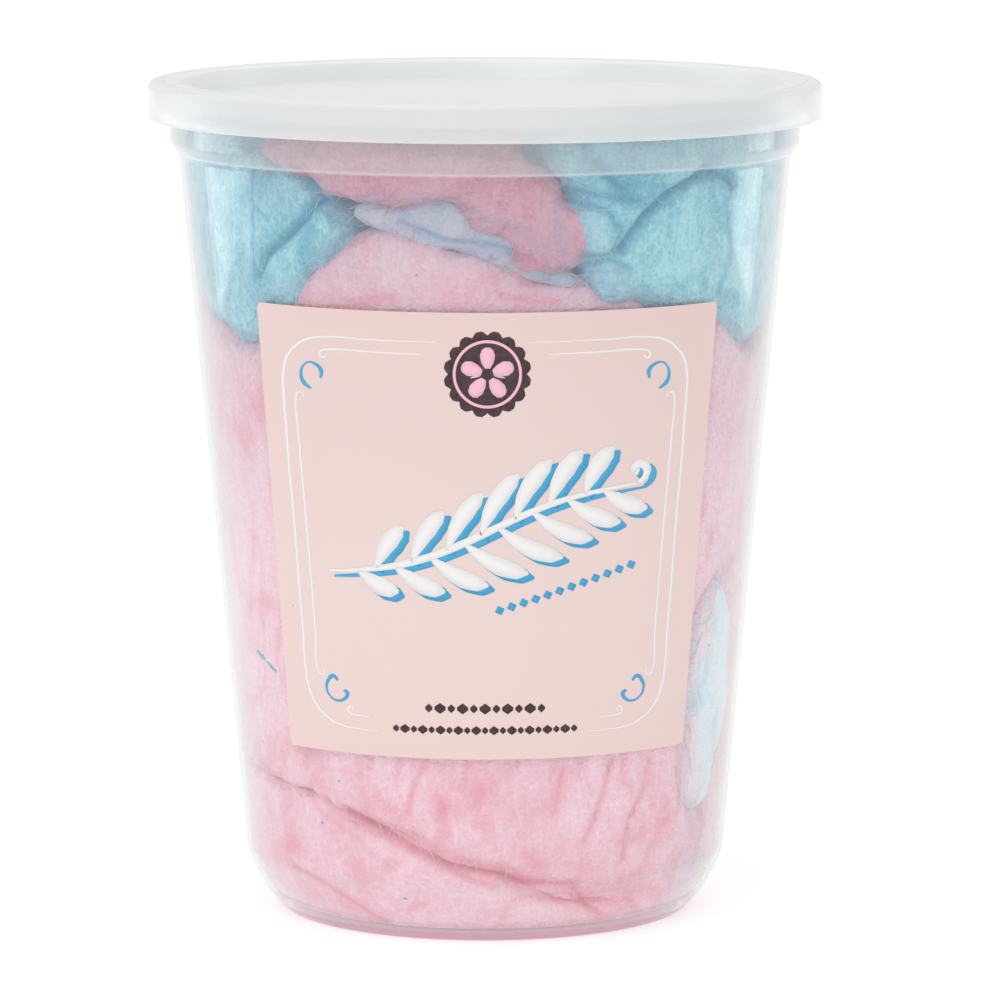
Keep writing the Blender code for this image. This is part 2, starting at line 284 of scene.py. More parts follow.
def drawn_line(name, points):
    """Chain of vertices pulled from one point to the next, left in edit mode."""
    deselect()
    bpy.ops.mesh.primitive_plane_add(size=MM, location=(0, 0, 0))
    line = named(name)
    to_edit()
    bpy.ops.mesh.merge(type="CENTER")
    bpy.ops.transform.translate(value=points[0])
    for near, far in zip(points, points[1:]):
        bpy.ops.mesh.extrude_vertices_move(TRANSFORM_OT_translate={"value": far - near})
    return line


def spin_all(steps, angle, axis):
    """Spins everything about the upright axis and closes the seams."""
    bpy.ops.mesh.select_all(action="SELECT")
    bpy.ops.mesh.spin(steps=steps, angle=angle, center=(0, 0, 0), axis=axis)
    bpy.ops.mesh.select_all(action="SELECT")
    bpy.ops.mesh.remove_doubles(threshold=SEAM)
    bpy.ops.mesh.normals_make_consistent(inside=False)


def turned_shell(name, corners, sides):
    """Shell turned about Z: a vertex is drawn round the half section, rounded and spun.

    corners are (radius, height, rounding) in mm, from the axis and back to it.
    """
    points = [Vector((radius * MM, 0, height * MM)) for radius, height, _ in corners]
    shell = drawn_line(name, points)
    for rounding in sorted({corner[2] for corner in corners} - {0}):
        chosen = [point for point, corner in zip(points, corners) if corner[2] == rounding]
        select_vertices(shell, lambda vertex: any((vertex.co - point).length < SAME for point in chosen))
        bpy.ops.mesh.bevel(offset=rounding * MM, segments=4, affect="VERTICES")
    spin_all(sides, math.tau, (0, 0, 1))
    to_object()
    bpy.ops.object.shade_smooth_by_angle(angle=SHELL_CREASE)
    return shell


# ---- material helpers

# Turn and stretch of the two ways that threads run, scales of the fine noises, and fixed colours
THREADS = (((0.3, 0.5, 0.2), (420, 420, 90)), ((1.1, 0.9, 0.9), (460, 100, 460)))
FUZZ_SCALE = 1100.0
CLOUD_SCALE = 34.0
SCUFF_SCALE = (120, 120, 900)
GRAIN_SCALE = 1600.0
SPECK_SCALE = 95.0
INK_SCALE = 900.0
WHITE = (1.0, 1.0, 1.0, 1.0)
CLOUD_TINT = (0.6, 0.62, 0.64, 1.0)
CLEAR_TINT = (0.995, 0.997, 1.0, 1.0)
SHINE_TINT = (0.95, 0.95, 0.95, 1.0)
MIRROR_FACE_ON = 0.04
MIRROR_AT_EDGE = 0.8
PAPER_SHADE = (0.95, 0.94, 0.945, 1.0)
SPECK_TINT = (*linear(150, 110, 105), 1.0)
PAPER_MARGIN = 16 * MM
SHADE_HEIGHTS = (55 * MM, 125 * MM)


class Nodes:
    """A short way to add and join a tree's nodes."""

    def __init__(self, tree):
        self.tree = tree
        tree.nodes.clear()

    def add(self, kind, settings=None, **inputs):
        """Adds a node; inputs are values or the sockets that feed them."""
        made = self.tree.nodes.new(kind)
        for key, value in (settings or {}).items():
            setattr(made, key, value)
        for key, value in inputs.items():
            self.feed(made.inputs[int(key[1:]) if key[0] == "_" else key.replace("_", " ")], value)
        return made

    def feed(self, socket, value):
        """Joins a socket to an input, or sets its value."""
        if isinstance(value, bpy.types.NodeSocket):
            self.tree.links.new(value, socket)
        else:
            socket.default_value = value

    def place(self):
        """Place on the piece."""
        return self.add("ShaderNodeTexCoord").outputs["Object"]

    def surface(self, shader):
        """Joins a shader to the material's surface."""
        self.add("ShaderNodeOutputMaterial", Surface=shader.outputs[0])

    def math(self, operation, first, second=0.0, clamp=False):
        """Result of one sum."""
        made = self.add("ShaderNodeMath", {"operation": operation, "use_clamp": clamp}, _0=first, _1=second)
        return made.outputs[0]

    def times(self, first, second):
        """Product of two values."""
        return self.math("MULTIPLY", first, second)

    def between(self, value, low, high, to_low=0.0, to_high=1.0):
        """Value brought from one range to another, smoothly."""
        made = self.add("ShaderNodeMapRange", {"interpolation_type": "SMOOTHSTEP"}, Value=value)
        for index, number in enumerate((low, high, to_low, to_high), 1):
            made.inputs[index].default_value = number
        return made.outputs[0]

    def mix(self, factor, first, second, blend="MIX"):
        """Two colours mixed."""
        made = self.add("ShaderNodeMix", {"data_type": "RGBA", "blend_type": blend, "clamp_factor": True})
        for index, value in ((0, factor), (6, first), (7, second)):
            self.feed(made.inputs[index], value)
        return made.outputs[2]

    def noise(self, place, scale, detail=2.0, roughness=0.5):
        """Noise value at a place."""
        made = self.add("ShaderNodeTexNoise", Vector=place, Scale=scale, Detail=detail, Roughness=roughness)
        return made.outputs[0]


def solid(tone):
    """Colour with its fourth value."""
    return (*tone, 1.0)


def new_material(name):
    """Empty node material and its nodes."""
    made = bpy.data.materials.new(name)
    made.use_nodes = True
    return made, Nodes(made.node_tree)


def shared_group(name, labels, build):
    """Shader node group with a scale, whose outputs are what build(nodes, scaled place) returns."""
    group = bpy.data.node_groups.get(name)
    if group:
        return group
    group = bpy.data.node_groups.new(name, "ShaderNodeTree")
    scale = group.interface.new_socket(name="Scale", in_out="INPUT", socket_type="NodeSocketFloat")
    scale.default_value = 1.0
    for label in labels:
        group.interface.new_socket(name=label, in_out="OUTPUT", socket_type="NodeSocketFloat")
    nodes = Nodes(group)
    source = nodes.add("NodeGroupInput").outputs["Scale"]
    scaled = nodes.add("ShaderNodeVectorMath", {"operation": "SCALE"}, _0=nodes.place(), Scale=source)
    nodes.add("NodeGroupOutput", **dict(zip(labels, build(nodes, scaled.outputs[0]))))
    return group


def sugar_fibres(nodes, place):
    """Matted sugar fibres: a mask on the fine threads and a fuzzy grain."""
    threads = []
    for turn, stretch in THREADS:
        turned = nodes.add("ShaderNodeMapping", Vector=place, Rotation=turn, Scale=stretch).outputs[0]
        wander = nodes.math("ABSOLUTE", nodes.math("SUBTRACT", nodes.noise(turned, 1.0, 1.0), 0.5))
        threads.append(nodes.between(wander, 0.004, 0.05, 1.0, 0.0))
    fuzz = nodes.noise(place, FUZZ_SCALE, 1.0, 0.65)
    return nodes.math("MAXIMUM", *threads), nodes.between(fuzz, 0.25, 0.75)


def moulded_plastic(nodes, place):
    """Slight cloudiness and fine scuffs of thin moulded plastic."""
    cloud = nodes.noise(place, CLOUD_SCALE, 1.0)
    drawn = nodes.add("ShaderNodeMapping", Vector=place, Scale=SCUFF_SCALE).outputs[0]
    return nodes.between(cloud, 0.3, 0.7), nodes.between(nodes.noise(drawn, 1.0, 0.0), 0.55, 0.8)


def plastic_material(name, tint, haze, edge_haze, gloss, inner_share, thicker=(), extra=0.0):
    """Clear to milky plastic: see-through face on and whiter edge on, under a glossy skin.

    thicker lists ("height" or "reach", from, to in mm, share of the extra haze) where the plastic is
    thicker and so milkier, and a narrow milkier band that paints a highlight; inner_share is how much of the
    haze the wall's inner side has.
    """
    made, nodes = new_material(name)
    moulding = shared_group("Moulded plastic", ("Cloud", "Scuff"), moulded_plastic)
    moulding = nodes.add("ShaderNodeGroup", {"node_tree": moulding}, Scale=1.0).outputs
    facing = nodes.add("ShaderNodeLayerWeight", Blend=0.5).outputs["Facing"]
    milk = nodes.between(nodes.math("POWER", facing, 3.0), 0.0, 1.0, haze, edge_haze)
    parts = nodes.add("ShaderNodeSeparateXYZ", Vector=nodes.place()).outputs
    level = nodes.add("ShaderNodeCombineXYZ", X=parts["X"], Y=parts["Y"]).outputs[0]
    reach = nodes.add("ShaderNodeVectorMath", {"operation": "LENGTH"}, _0=level).outputs["Value"]
    along = {"height": parts["Z"], "reach": reach}
    for way, low, high, part in thicker:
        begun, ended = (
            nodes.between(along[way], (edge - 0.2) * MM, (edge + 0.2) * MM) for edge in (low, high)
        )
        within = nodes.math("SUBTRACT", begun, ended)
        milk = nodes.math("ADD", milk, nodes.times(within, part * extra))
    inside = nodes.add("ShaderNodeNewGeometry").outputs["Backfacing"]
    milk = nodes.math("MULTIPLY", milk, nodes.between(inside, 0.0, 1.0, 1.0, inner_share), clamp=True)
    clouded = nodes.mix(nodes.times(moulding["Cloud"], 0.06), solid(tint), CLOUD_TINT)
    body = nodes.add("ShaderNodeBsdfDiffuse", Color=clouded)
    clear = nodes.add("ShaderNodeBsdfTransparent", Color=CLEAR_TINT)
    seen = nodes.add("ShaderNodeMixShader", _0=milk, _1=clear.outputs[0], _2=body.outputs[0])
    dull = nodes.between(moulding["Scuff"], 0.0, 1.0, gloss, gloss + 0.06)
    shine = nodes.add("ShaderNodeBsdfGlossy", Color=SHINE_TINT, Roughness=dull)
    mirror = nodes.times(nodes.math("POWER", facing, 5.0), MIRROR_AT_EDGE)
    mirror = nodes.math("ADD", mirror, MIRROR_FACE_ON, clamp=True)
    nodes.surface(nodes.add("ShaderNodeMixShader", _0=mirror, _1=seen.outputs[0], _2=shine.outputs[0]))
    return made


def floss_material(name, light, plain, deep, mingled, high_shade, painted_glow):
    """Spun sugar: soft and fibrous, deeper in its creases as painted shade, darker towards the lid as painted
    shade, greyed where the colours mingle, and glowing a little into its shadows as painted light.
    """
    made, nodes = new_material(name)
    fibres = shared_group("Sugar fibres", ("Threads", "Fuzz"), sugar_fibres)
    fibres = nodes.add("ShaderNodeGroup", {"node_tree": fibres}, Scale=1.0).outputs
    crease, mingle, cloud = (
        nodes.add("ShaderNodeAttribute", {"attribute_name": key}).outputs["Fac"]
        for key in ("crease", "mingle", "cloud")
    )
    fuzz = nodes.times(nodes.math("SUBTRACT", fibres["Fuzz"], 0.5), 0.5)
    # paled follows cloud, which is partly random and partly a painted highlight on the raised wrinkles
    paled = nodes.math("ADD", nodes.times(cloud, 0.75), nodes.times(fibres["Threads"], 0.4))
    tone = nodes.mix(nodes.math("ADD", paled, fuzz, clamp=True), solid(plain), solid(light))
    height = nodes.add("ShaderNodeSeparateXYZ", Vector=nodes.place()).outputs["Z"]
    # painted shade: darker towards the lid
    tone = nodes.mix(nodes.between(height, *SHADE_HEIGHTS), tone, solid(high_shade), "MULTIPLY")
    tone = nodes.mix(nodes.times(mingle, 0.8), tone, solid(mingled))
    # painted shade: the deep colour in the creases
    tone = nodes.mix(crease, tone, solid(deep))
    bump = nodes.add("ShaderNodeBump", Strength=0.6, Distance=0.5 * MM, Height=fibres["Fuzz"])
    # The emission is painted light that lifts the floss's shadows
    shader = nodes.add(
        "ShaderNodeBsdfPrincipled", Base_Color=tone, Roughness=0.95, Normal=bump.outputs[0],
        Emission_Color=tone, Emission_Strength=painted_glow, Sheen_Weight=0.25, Sheen_Roughness=0.6,
        Specular_IOR_Level=0.1,
    )
    nodes.surface(shader)
    return made


def paper_material(settings):
    """Satin label paper, a little warmer near its edges, with fine grain and a few specks."""
    made, nodes = new_material("label_paper")
    place = nodes.place()
    parts = nodes.add("ShaderNodeSeparateXYZ", Vector=place).outputs
    low = nodes.between(parts["Z"], settings.bottom, settings.bottom + PAPER_MARGIN, 1.0, 0.0)
    high = nodes.between(parts["Z"], settings.top - PAPER_MARGIN, settings.top)
    side = nodes.between(nodes.math("ABSOLUTE", parts["X"]), 26 * MM, 41 * MM)
    edge = nodes.math("MAXIMUM", nodes.math("MAXIMUM", low, high), side)
    tone = nodes.mix(nodes.times(edge, 0.8), solid(settings.paper), solid(settings.paper_edge))
    tone = nodes.mix(nodes.between(parts["Z"], 60 * MM, 110 * MM), tone, PAPER_SHADE, "MULTIPLY")
    grain = nodes.noise(place, GRAIN_SCALE, 3.0, 0.6)
    specks = nodes.add("ShaderNodeTexVoronoi", {"feature": "F1"}, Vector=place, Scale=SPECK_SCALE)
    rare = nodes.between(specks.outputs["Color"], 0.80, 0.84)
    dot = nodes.times(nodes.between(specks.outputs["Distance"], 0.012, 0.03, 1.0, 0.0), rare)
    tone = nodes.mix(nodes.times(dot, 0.55), tone, SPECK_TINT)
    bump = nodes.add("ShaderNodeBump", Strength=0.08, Distance=0.1 * MM, Height=grain)
    roughness = nodes.between(grain, 0.3, 0.7, 0.42, 0.5)
    nodes.surface(nodes.add(
        "ShaderNodeBsdfPrincipled", Base_Color=tone, Roughness=roughness, Normal=bump.outputs[0],
    ))
    return made


def ink_material(name, tint):
    """Flat printing ink with a slightly uneven lay."""
    made, nodes = new_material(name)
    lay = nodes.noise(nodes.place(), INK_SCALE, 3.0, 0.6)
    tone = nodes.mix(nodes.between(lay, 0.3, 0.8, 0.0, 0.03), solid(tint), WHITE)
    roughness = nodes.between(lay, 0.3, 0.7, 0.38, 0.5)
    nodes.surface(nodes.add("ShaderNodeBsdfPrincipled", Base_Color=tone, Roughness=roughness))
    return made


# ---- tub and lid

# Half sections as (radius, height, rounding) in mm
TUB_SECTION = [
    (0, 2.0, 0), (36.0, 2.0, 1.2), (38.4, 4.6, 1.2), (40.2, 7.6, 1.2), (41.46, 10.5, 0.5),
    (52.86, 133.4, 0.5), (54.45, 135.9, 0.5), (54.45, 144.9, 0.3), (57.6, 144.9, 0.5), (57.6, 142.6, 0.4),
    (55.2, 142.6, 0.2), (55.2, 135.9, 0.5), (53.61, 133.4, 0.5), (42.21, 10.5, 0.5), (40.9, 7.0, 1.2),
    (38.9, 3.6, 1.2), (36.6, 0.9, 1.0), (35.5, 0, 0.3), (33.9, 0, 0.3), (32.7, 1.2, 0.3), (0, 1.2, 0),
]
LID_SECTION = [
    (0, 142.6, 0), (52.2, 142.6, 0.5), (53.3, 146.4, 0.5), (59.0, 146.4, 1.2), (59.0, 139.7, 0.7),
    (57.2, 139.7, 0.2), (57.2, 140.9, 0.3), (58.2, 142.8, 0.5), (58.2, 145.6, 0.5), (53.9, 145.6, 0.3),
    (53.2, 142.6, 0.3), (52.6, 141.8, 0.3), (0, 141.8, 0),
]
# Where the plastic is thicker, and at 133.8 to 134.3 mm a painted highlight along the ledge: the way it is
# measured, from and to in mm, and the share of the extra haze
TUB_THICKER = [
    ("height", 9.0, 11.0, 0.3), ("height", 134.3, 136.3, 0.75), ("height", 133.8, 134.3, 1.3),
    ("height", 136.3, 144.0, 0.75),
]
LID_THICKER = [("reach", -1.0, 56.0, 1.0), ("reach", 56.5, 58.9, 0.6)]
# Share of the haze that the inner side of each has
INNER_SHARES = {"tub": 0.4, "foot": 0.9, "lid": 0.7}


class CANDYTUB_OT_tub(bpy.types.Operator):
    """Clear tub with its foot, ledge and rim"""

    bl_idname = "candytub.tub"
    bl_label = "Tub"

    def execute(self, context):
        settings = context.scene.candytub_plastic
        tub = turned_shell("clear_tub", TUB_SECTION, settings.sides)
        edge_haze, gloss = settings.tub_edge_haze, settings.gloss
        tub.data.materials.append(plastic_material(
            "clear_plastic", settings.tub_tint, settings.tub_haze, edge_haze, gloss, INNER_SHARES["tub"],
            TUB_THICKER, settings.collar_haze,
        ))
        # The foot's ring has the floss's colour and shade painted on it
        tub.data.materials.append(plastic_material(
            "stained_plastic", settings.foot_tint, settings.foot_haze, edge_haze, gloss, INNER_SHARES["foot"],
        ))
        tub.visible_shadow = False
        for face in tub.data.polygons:
            face.material_index = 1 if face.center.z < FOOT_RING else 0
        finish_piece(tub, "tub", "tub")
        return {"FINISHED"}


class CANDYTUB_OT_lid(bpy.types.Operator):
    """Milky lid pressed over the rim"""

    bl_idname = "candytub.lid"
    bl_label = "Lid"

    def execute(self, context):
        settings = context.scene.candytub_plastic
        lid = turned_shell("milky_lid", LID_SECTION, settings.sides)
        lid.data.materials.append(plastic_material(
            "milky_plastic", settings.lid_tint, settings.lid_haze, settings.lid_edge_haze,
            settings.lid_gloss, INNER_SHARES["lid"], LID_THICKER, settings.panel_haze,
        ))
        finish_piece(lid, "lid", "lid")
        return {"FINISHED"}


# ---- label and its print

GLUE_GAP = 0.06 * MM
LABEL_STEPS = 96

# Left half of the border and the corner scrolls, as (across, height) in mm; the right half mirrors it
BORDER_OUTER = [
    (-7.3, 105.7), (-19.6, 105.8), (-28.0, 105.8), (-30.6, 105.1), (-32.6, 103.5), (-33.9, 101.5),
    (-34.4, 98.9), (-34.4, 96.1), (-34.1, 91.7), (-33.6, 84.2), (-32.7, 73.6), (-31.7, 59.5),
    (-31.3, 54.6), (-30.9, 47.6), (-30.3, 44.2), (-29.0, 41.3), (-27.0, 39.3), (-24.5, 38.2),
    (-21.6, 37.9), (-17.8, 37.8),
]
BORDER_INNER = [
    [(-10.3, 103.6), (-18.0, 103.7), (-26.8, 103.7), (-27.9, 103.3), (-28.0, 102.6), (-27.3, 102.3),
     (-26.9, 102.8)],
    [(-30.9, 95.1), (-31.2, 95.9), (-31.9, 95.9), (-32.2, 94.9), (-31.8, 88.6), (-30.6, 73.9), (-29.5, 59.8),
     (-29.1, 54.3), (-28.7, 47.6), (-28.1, 46.8), (-27.5, 47.2), (-27.8, 48.1)],
    [(-22.7, 40.9), (-22.7, 41.6), (-23.4, 41.5), (-23.3, 40.6), (-22.1, 40.3), (-19.4, 40.2)],
]
SCROLLS = [
    [(-29.6, 96.8), (-30.8, 97.7), (-31.3, 99.2), (-30.9, 100.6), (-30.0, 101.3), (-28.7, 101.0),
     (-27.8, 100.0), (-27.9, 98.7)],
    [(-25.2, 46.1), (-26.1, 46.8), (-26.9, 45.9), (-27.2, 44.6), (-26.6, 43.2), (-25.3, 42.5),
     (-24.0, 43.0), (-23.6, 44.0), (-24.2, 44.5)],
]
SCROLL_WEIGHTS = [0.55, 1.0, 0.75, 0.45, 0.45, 0.7, 1.0, 0.6]
OUTER_WIDTH = 0.46
INNER_WIDTH = 0.38
SCROLL_WIDTH = 0.72
INK = 0.02 * MM
INK_LAYER = 0.03 * MM

# The blue row from end to end, and the brown rows as (count, height, half length, size)
BLUE_ROW = ((2.5, 59.5), (24.9, 66.5))
BLUE_ROW_COUNT = 12
BROWN_ROWS = [(11, 42.3, 9.6, 1.9), (21, 38.5, 15.2, 1.6)]

BADGE = (0.4, 100.3)
BADGE_RADIUS = 7.4
RING_RADIUS = 5.6
FLAT_DEPTH = -75 * MM


def mirrored(path):
    """The same path on the label's right side."""
    return [(-across, height) for across, height in path]


def spread(weights, count):
    """The weights spread over a number of points."""
    return list(np.interp(np.linspace(0, 1, count), np.linspace(0, 1, len(weights)), weights))


def print_strokes(name, strokes, tint, layer):
    """Brush strokes drawn flat in front of the label, laid on to it and given the ink's thickness.

    strokes are (points in mm, width in mm, weights along the stroke, steps between points).
    """
    parts = []
    for path, width, weights, steps in strokes:
        deselect()
        bpy.ops.curve.primitive_bezier_curve_add(location=(0, 0, 0))
        stroke = bpy.context.object
        stroke.data.splines[0].bezier_points.add(len(path) - 2)
        points = stroke.data.splines[0].bezier_points
        for point, (across, height), weight in zip(points, path, spread(weights, len(path))):
            point.co = (across * MM, height * MM, 0)
            point.handle_left_type = point.handle_right_type = "AUTO"
            point.radius = weight
            point.tilt = math.pi / 2
        stroke.data.twist_mode = "Z_UP"
        stroke.data.resolution_u = steps
        stroke.data.extrude = width * MM / 2
        bpy.ops.object.convert(target="MESH")
        parts.append(bpy.context.object)
    deselect()
    for part in parts:
        part.select_set(True)
    bpy.context.view_layer.objects.active = parts[0]
    if len(parts) > 1:
        bpy.ops.object.join()
    to_edit()
    bpy.ops.transform.rotate(value=-math.pi / 2, orient_axis="X", center_override=(0, 0, 0))
    bpy.ops.transform.translate(value=(0, FLAT_DEPTH, 0))
    to_object()
    return lay_on_label(named(name), tint, layer)


def lay_on_label(ink, tint, layer):
    """Presses a flat print on to the label and gives it thickness and colour."""
    to_edit()
    bpy.ops.mesh.remove_doubles(threshold=0.002 * MM)
    bpy.ops.mesh.normals_make_consistent(inside=False)
    to_object()
    apply_modifier(
        ink, "SHRINKWRAP", target=bpy.data.objects["paper_label"], wrap_method="PROJECT", use_project_y=True,
        use_negative_direction=False, use_positive_direction=True, offset=INK + INK_LAYER * layer,
    )
    apply_modifier(ink, "SOLIDIFY", thickness=INK, offset=0.0)
    ink.data.materials.append(ink_material(ink.name + "_ink", tint))
    finish_piece(ink, "label")
    return ink


SPRIG_TILT = math.radians(16)
SPRIG_MIDDLE = (0.2, 73.0)
SPRIG_HALF = 28.0
SPRIG_LEAVES = 15
SPRIG_REACH = (-23.0, 21.0)
SPRIG_SHADOW = (1.0, -0.8)
LEAF_LENGTH = 11.6
LEAF_WIDTH = 3.2
LEAF_WEIGHTS = [0.15, 0.75, 1.0, 0.8, 0.15]


def on_sprig(reach, rise):
    """Place on the label of a point along and above the sprig's middle line, in mm."""
    cosine, sine = math.cos(SPRIG_TILT), math.sin(SPRIG_TILT)
    return (SPRIG_MIDDLE[0] + reach * cosine - rise * sine, SPRIG_MIDDLE[1] + reach * sine + rise * cosine)


def stem_rise(reach):
    """Height of the sprig's stem over its middle line."""
    return 1.6 * math.sin(math.pi * reach / SPRIG_HALF)


def sprig_strokes(shift):
    """The tilted sprig across the label: a stem, slanted leaves above and below it, and a curl."""
    stem = [on_sprig(reach, stem_rise(reach)) for reach in np.linspace(-SPRIG_HALF, SPRIG_HALF - 1, 17)]
    strokes = [(stem, 0.42 * LEAF_WIDTH, [0.3, 1.0, 1.0, 0.8, 0.3], 5)]
    for step, reach in enumerate(np.linspace(*SPRIG_REACH, SPRIG_LEAVES)):
        size = LEAF_LENGTH * (1 - 0.4 * abs(reach / 24.0) ** 1.6)
        side = 1 if step % 2 else -1
        root = stem_rise(reach)
        leaf = []
        for along in (0.0, 0.3, 0.6, 0.85, 1.0):
            lean = size * along * (0.62 + 0.18 * along)
            leaf.append(on_sprig(reach + lean, root + side * size * along * (1.0 - 0.28 * along)))
        strokes.append((leaf, LEAF_WIDTH, LEAF_WEIGHTS, 5))
    tip = [on_sprig(SPRIG_HALF - 1 + reach, stem_rise(SPRIG_HALF - 1) + rise)
           for reach, rise in ((0, 0), (1.6, 0.9), (2.0, 2.4), (0.9, 3.2), (0.0, 2.4), (0.6, 1.8))]
    strokes.append((tip, 0.55 * LEAF_WIDTH, [0.4, 1.0, 0.6], 5))
    return [([(across + shift[0], height + shift[1]) for across, height in path], wide, weights, steps)
            for path, wide, weights, steps in strokes]


def lozenge(across, height, reach, rise, size, ends):
    """Stroke of one lozenge in a row."""
    points = [(across + step * reach, height + step * rise) for step in (-1, 0, 1)]
    return (points, size, [ends, 1, ends], 4)


def on_badge(reach, turn):
    """Place on the label of a point on the badge, in mm."""
    return (BADGE[0] + reach * math.cos(turn), BADGE[1] + reach * math.sin(turn))


class CANDYTUB_OT_label(bpy.types.Operator):
    """Paper label round the front of the wall"""

    bl_idname = "candytub.label"
    bl_label = "Label"

    def execute(self, context):
        settings = context.scene.candytub_label
        start = settings.from_angle
        outward = Vector((math.sin(start), -math.cos(start), 0))
        inner, outer = GLUE_GAP, GLUE_GAP + settings.thickness
        low, high = settings.bottom, settings.top
        label = drawn_line("paper_label", [
            outward * (wall_radius(height) + gap) + Vector((0, 0, height))
            for height, gap in ((low, inner), (low, outer), (high, outer), (high, inner))
        ])
        bpy.ops.mesh.select_all(action="SELECT")
        bpy.ops.mesh.edge_face_add()
        spin_all(LABEL_STEPS, settings.to_angle - start, (0, 0, -1))
        bpy.ops.mesh.select_mode(type="EDGE")
        mesh = bmesh.from_edit_mesh(label.data)
        for edge in mesh.edges:
            middle = (edge.verts[0].co + edge.verts[1].co) / 2
            along = (edge.verts[1].co - edge.verts[0].co).normalized()
            angle = math.atan2(middle.x, -middle.y)
            at_end = min(abs(angle - start), abs(angle - settings.to_angle)) < 1e-3
            edge.select_set(at_end and abs(along.z) < 0.5)
        bmesh.update_edit_mesh(label.data)
        bpy.ops.mesh.bevel(offset=settings.corner, segments=6, affect="EDGES", clamp_overlap=False)
        bpy.ops.mesh.select_mode(type="VERT")
        to_object()
        bpy.ops.object.shade_smooth_by_angle(angle=LABEL_CREASE)
        label.data.materials.append(paper_material(settings))
        finish_piece(label, "label", "label")
        return {"FINISHED"}


class CANDYTUB_OT_label_print(bpy.types.Operator):
    """Border, scrolls, leaf sprig, rows of lozenges and badge printed on the label"""

    bl_idname = "candytub.label_print"
    bl_label = "Label Print"

    def execute(self, context):
        settings = context.scene.candytub_label
        taper = [0.4, 1.0, 1.0, 1.0, 1.0, 1.0, 0.4]
        white = []
        blue = []
        for turn in (list, mirrored):
            white.append((turn(BORDER_OUTER), OUTER_WIDTH, taper, 6))
            for path in BORDER_INNER:
                white.append((turn(path), INNER_WIDTH, [0.6, 1.0, 1.0, 0.6], 5))
            for path in SCROLLS:
                blue.append((turn(path), SCROLL_WIDTH, SCROLL_WEIGHTS, 6))
        blue += sprig_strokes(SPRIG_SHADOW)
        for across, height in np.linspace(*BLUE_ROW, BLUE_ROW_COUNT):
            blue.append(lozenge(across, height, 0.75, 0.25, 1.7, 0.15))
        brown = []
        for count, height, half, size in BROWN_ROWS:
            for step, across in enumerate(np.linspace(-half, half, count)):
                reach, wide = (0.5, 1.0) if step % 2 else (0.32, 0.8)
                brown.append(lozenge(across, height, reach * size, 0, wide * size, 0.3))
        print_strokes("white_border", white, settings.white, 0)
        print_strokes("blue_print", blue, settings.blue, 0)
        print_strokes("white_flourish", sprig_strokes((0, 0)), settings.white, 1)
        print_strokes("brown_rows", brown, settings.brown, 0)
        self.badge(settings)
        return {"FINISHED"}

    def badge(self, settings):
        """Scalloped badge with a ring and a five-petalled flower."""
        deselect()
        bpy.ops.mesh.primitive_circle_add(
            vertices=96, radius=BADGE_RADIUS * MM, fill_type="NGON", location=(0, 0, 0),
            rotation=(math.pi / 2, 0, 0),
        )
        disc = named("badge_disc")
        bpy.ops.object.transform_apply(location=True, rotation=True, scale=True)
        to_edit()
        for part, size in (((0,), 0.9), ((1, 5), 0.955)):
            select_vertices(disc, lambda vertex: vertex.index % 6 in part)
            bpy.ops.transform.resize(value=(size, 1, size), center_override=(0, 0, 0))
        bpy.ops.mesh.select_all(action="SELECT")
        for _ in range(6):
            bpy.ops.mesh.inset(thickness=1.0 * MM, use_even_offset=False)
        bpy.ops.mesh.poke()
        bpy.ops.mesh.select_all(action="SELECT")
        bpy.ops.transform.translate(value=(BADGE[0] * MM, FLAT_DEPTH, BADGE[1] * MM))
        to_object()
        lay_on_label(disc, settings.brown, 0)
        ring = [on_badge(RING_RADIUS, turn) for turn in np.linspace(0, math.tau, 33)]
        strokes = [(ring, 0.5, [1, 1], 4)]
        for petal in range(5):
            turn = math.tau * petal / 5 + math.pi / 2
            petal_line = [on_badge(reach, turn) for reach in (1.0, 2.0, 3.2, 4.2, 4.6)]
            strokes.append((petal_line, 2.6, [0.35, 0.8, 1.0, 0.75, 0.3], 6))
        print_strokes("badge_flower", strokes, settings.rose, 1)


# ---- floss

# Grids, sizes of the relief and its noise, and the loose fibres (warp, lengths, depths and halves in mm)
GUIDE_VOXEL = 1.1 * MM
PROBE_DEPTH = 2.6 * MM
PROBE_REACH = 5 * MM
MOST_SQUARES = 85000
NOISE_CELLS = 48
WARP = 9
WARP_SIZE = 13 * MM
PUFF_SIZE = 9 * MM
SEAM_SIZE = 14 * MM
CLOUD_SIZE = 16 * MM
CRUMB_SIZE = 1.9 * MM
WRINKLE_SIZES = np.array([3.0, 3.0, 14.0]) * MM
GROOVE_WIDTH = 1.2 * MM
MINGLE_WIDTH = 1.6 * MM
SKIN_DEPTHS = (4 * MM, 6 * MM)
DUCK_MOST = 2.6 * MM
MOST_CREASE = 0.92
FLOSS_TOP = 141.5 * MM
FLOSS_FLOOR = 2.15 * MM
TUFT_DEPTH = 0.4 * MM
FIBRE_POINTS = 7
FIBRE_LENGTHS = (2.5, 8.5)
FIBRE_DEPTHS = (0.27, 0.6)
FIBRE_HALVES = (0.035, 0.08)
FIBRE_LEVELS = (3 * MM, 140.5 * MM)
RANDOM = np.random.default_rng(11).random((NOISE_CELLS, NOISE_CELLS, NOISE_CELLS))

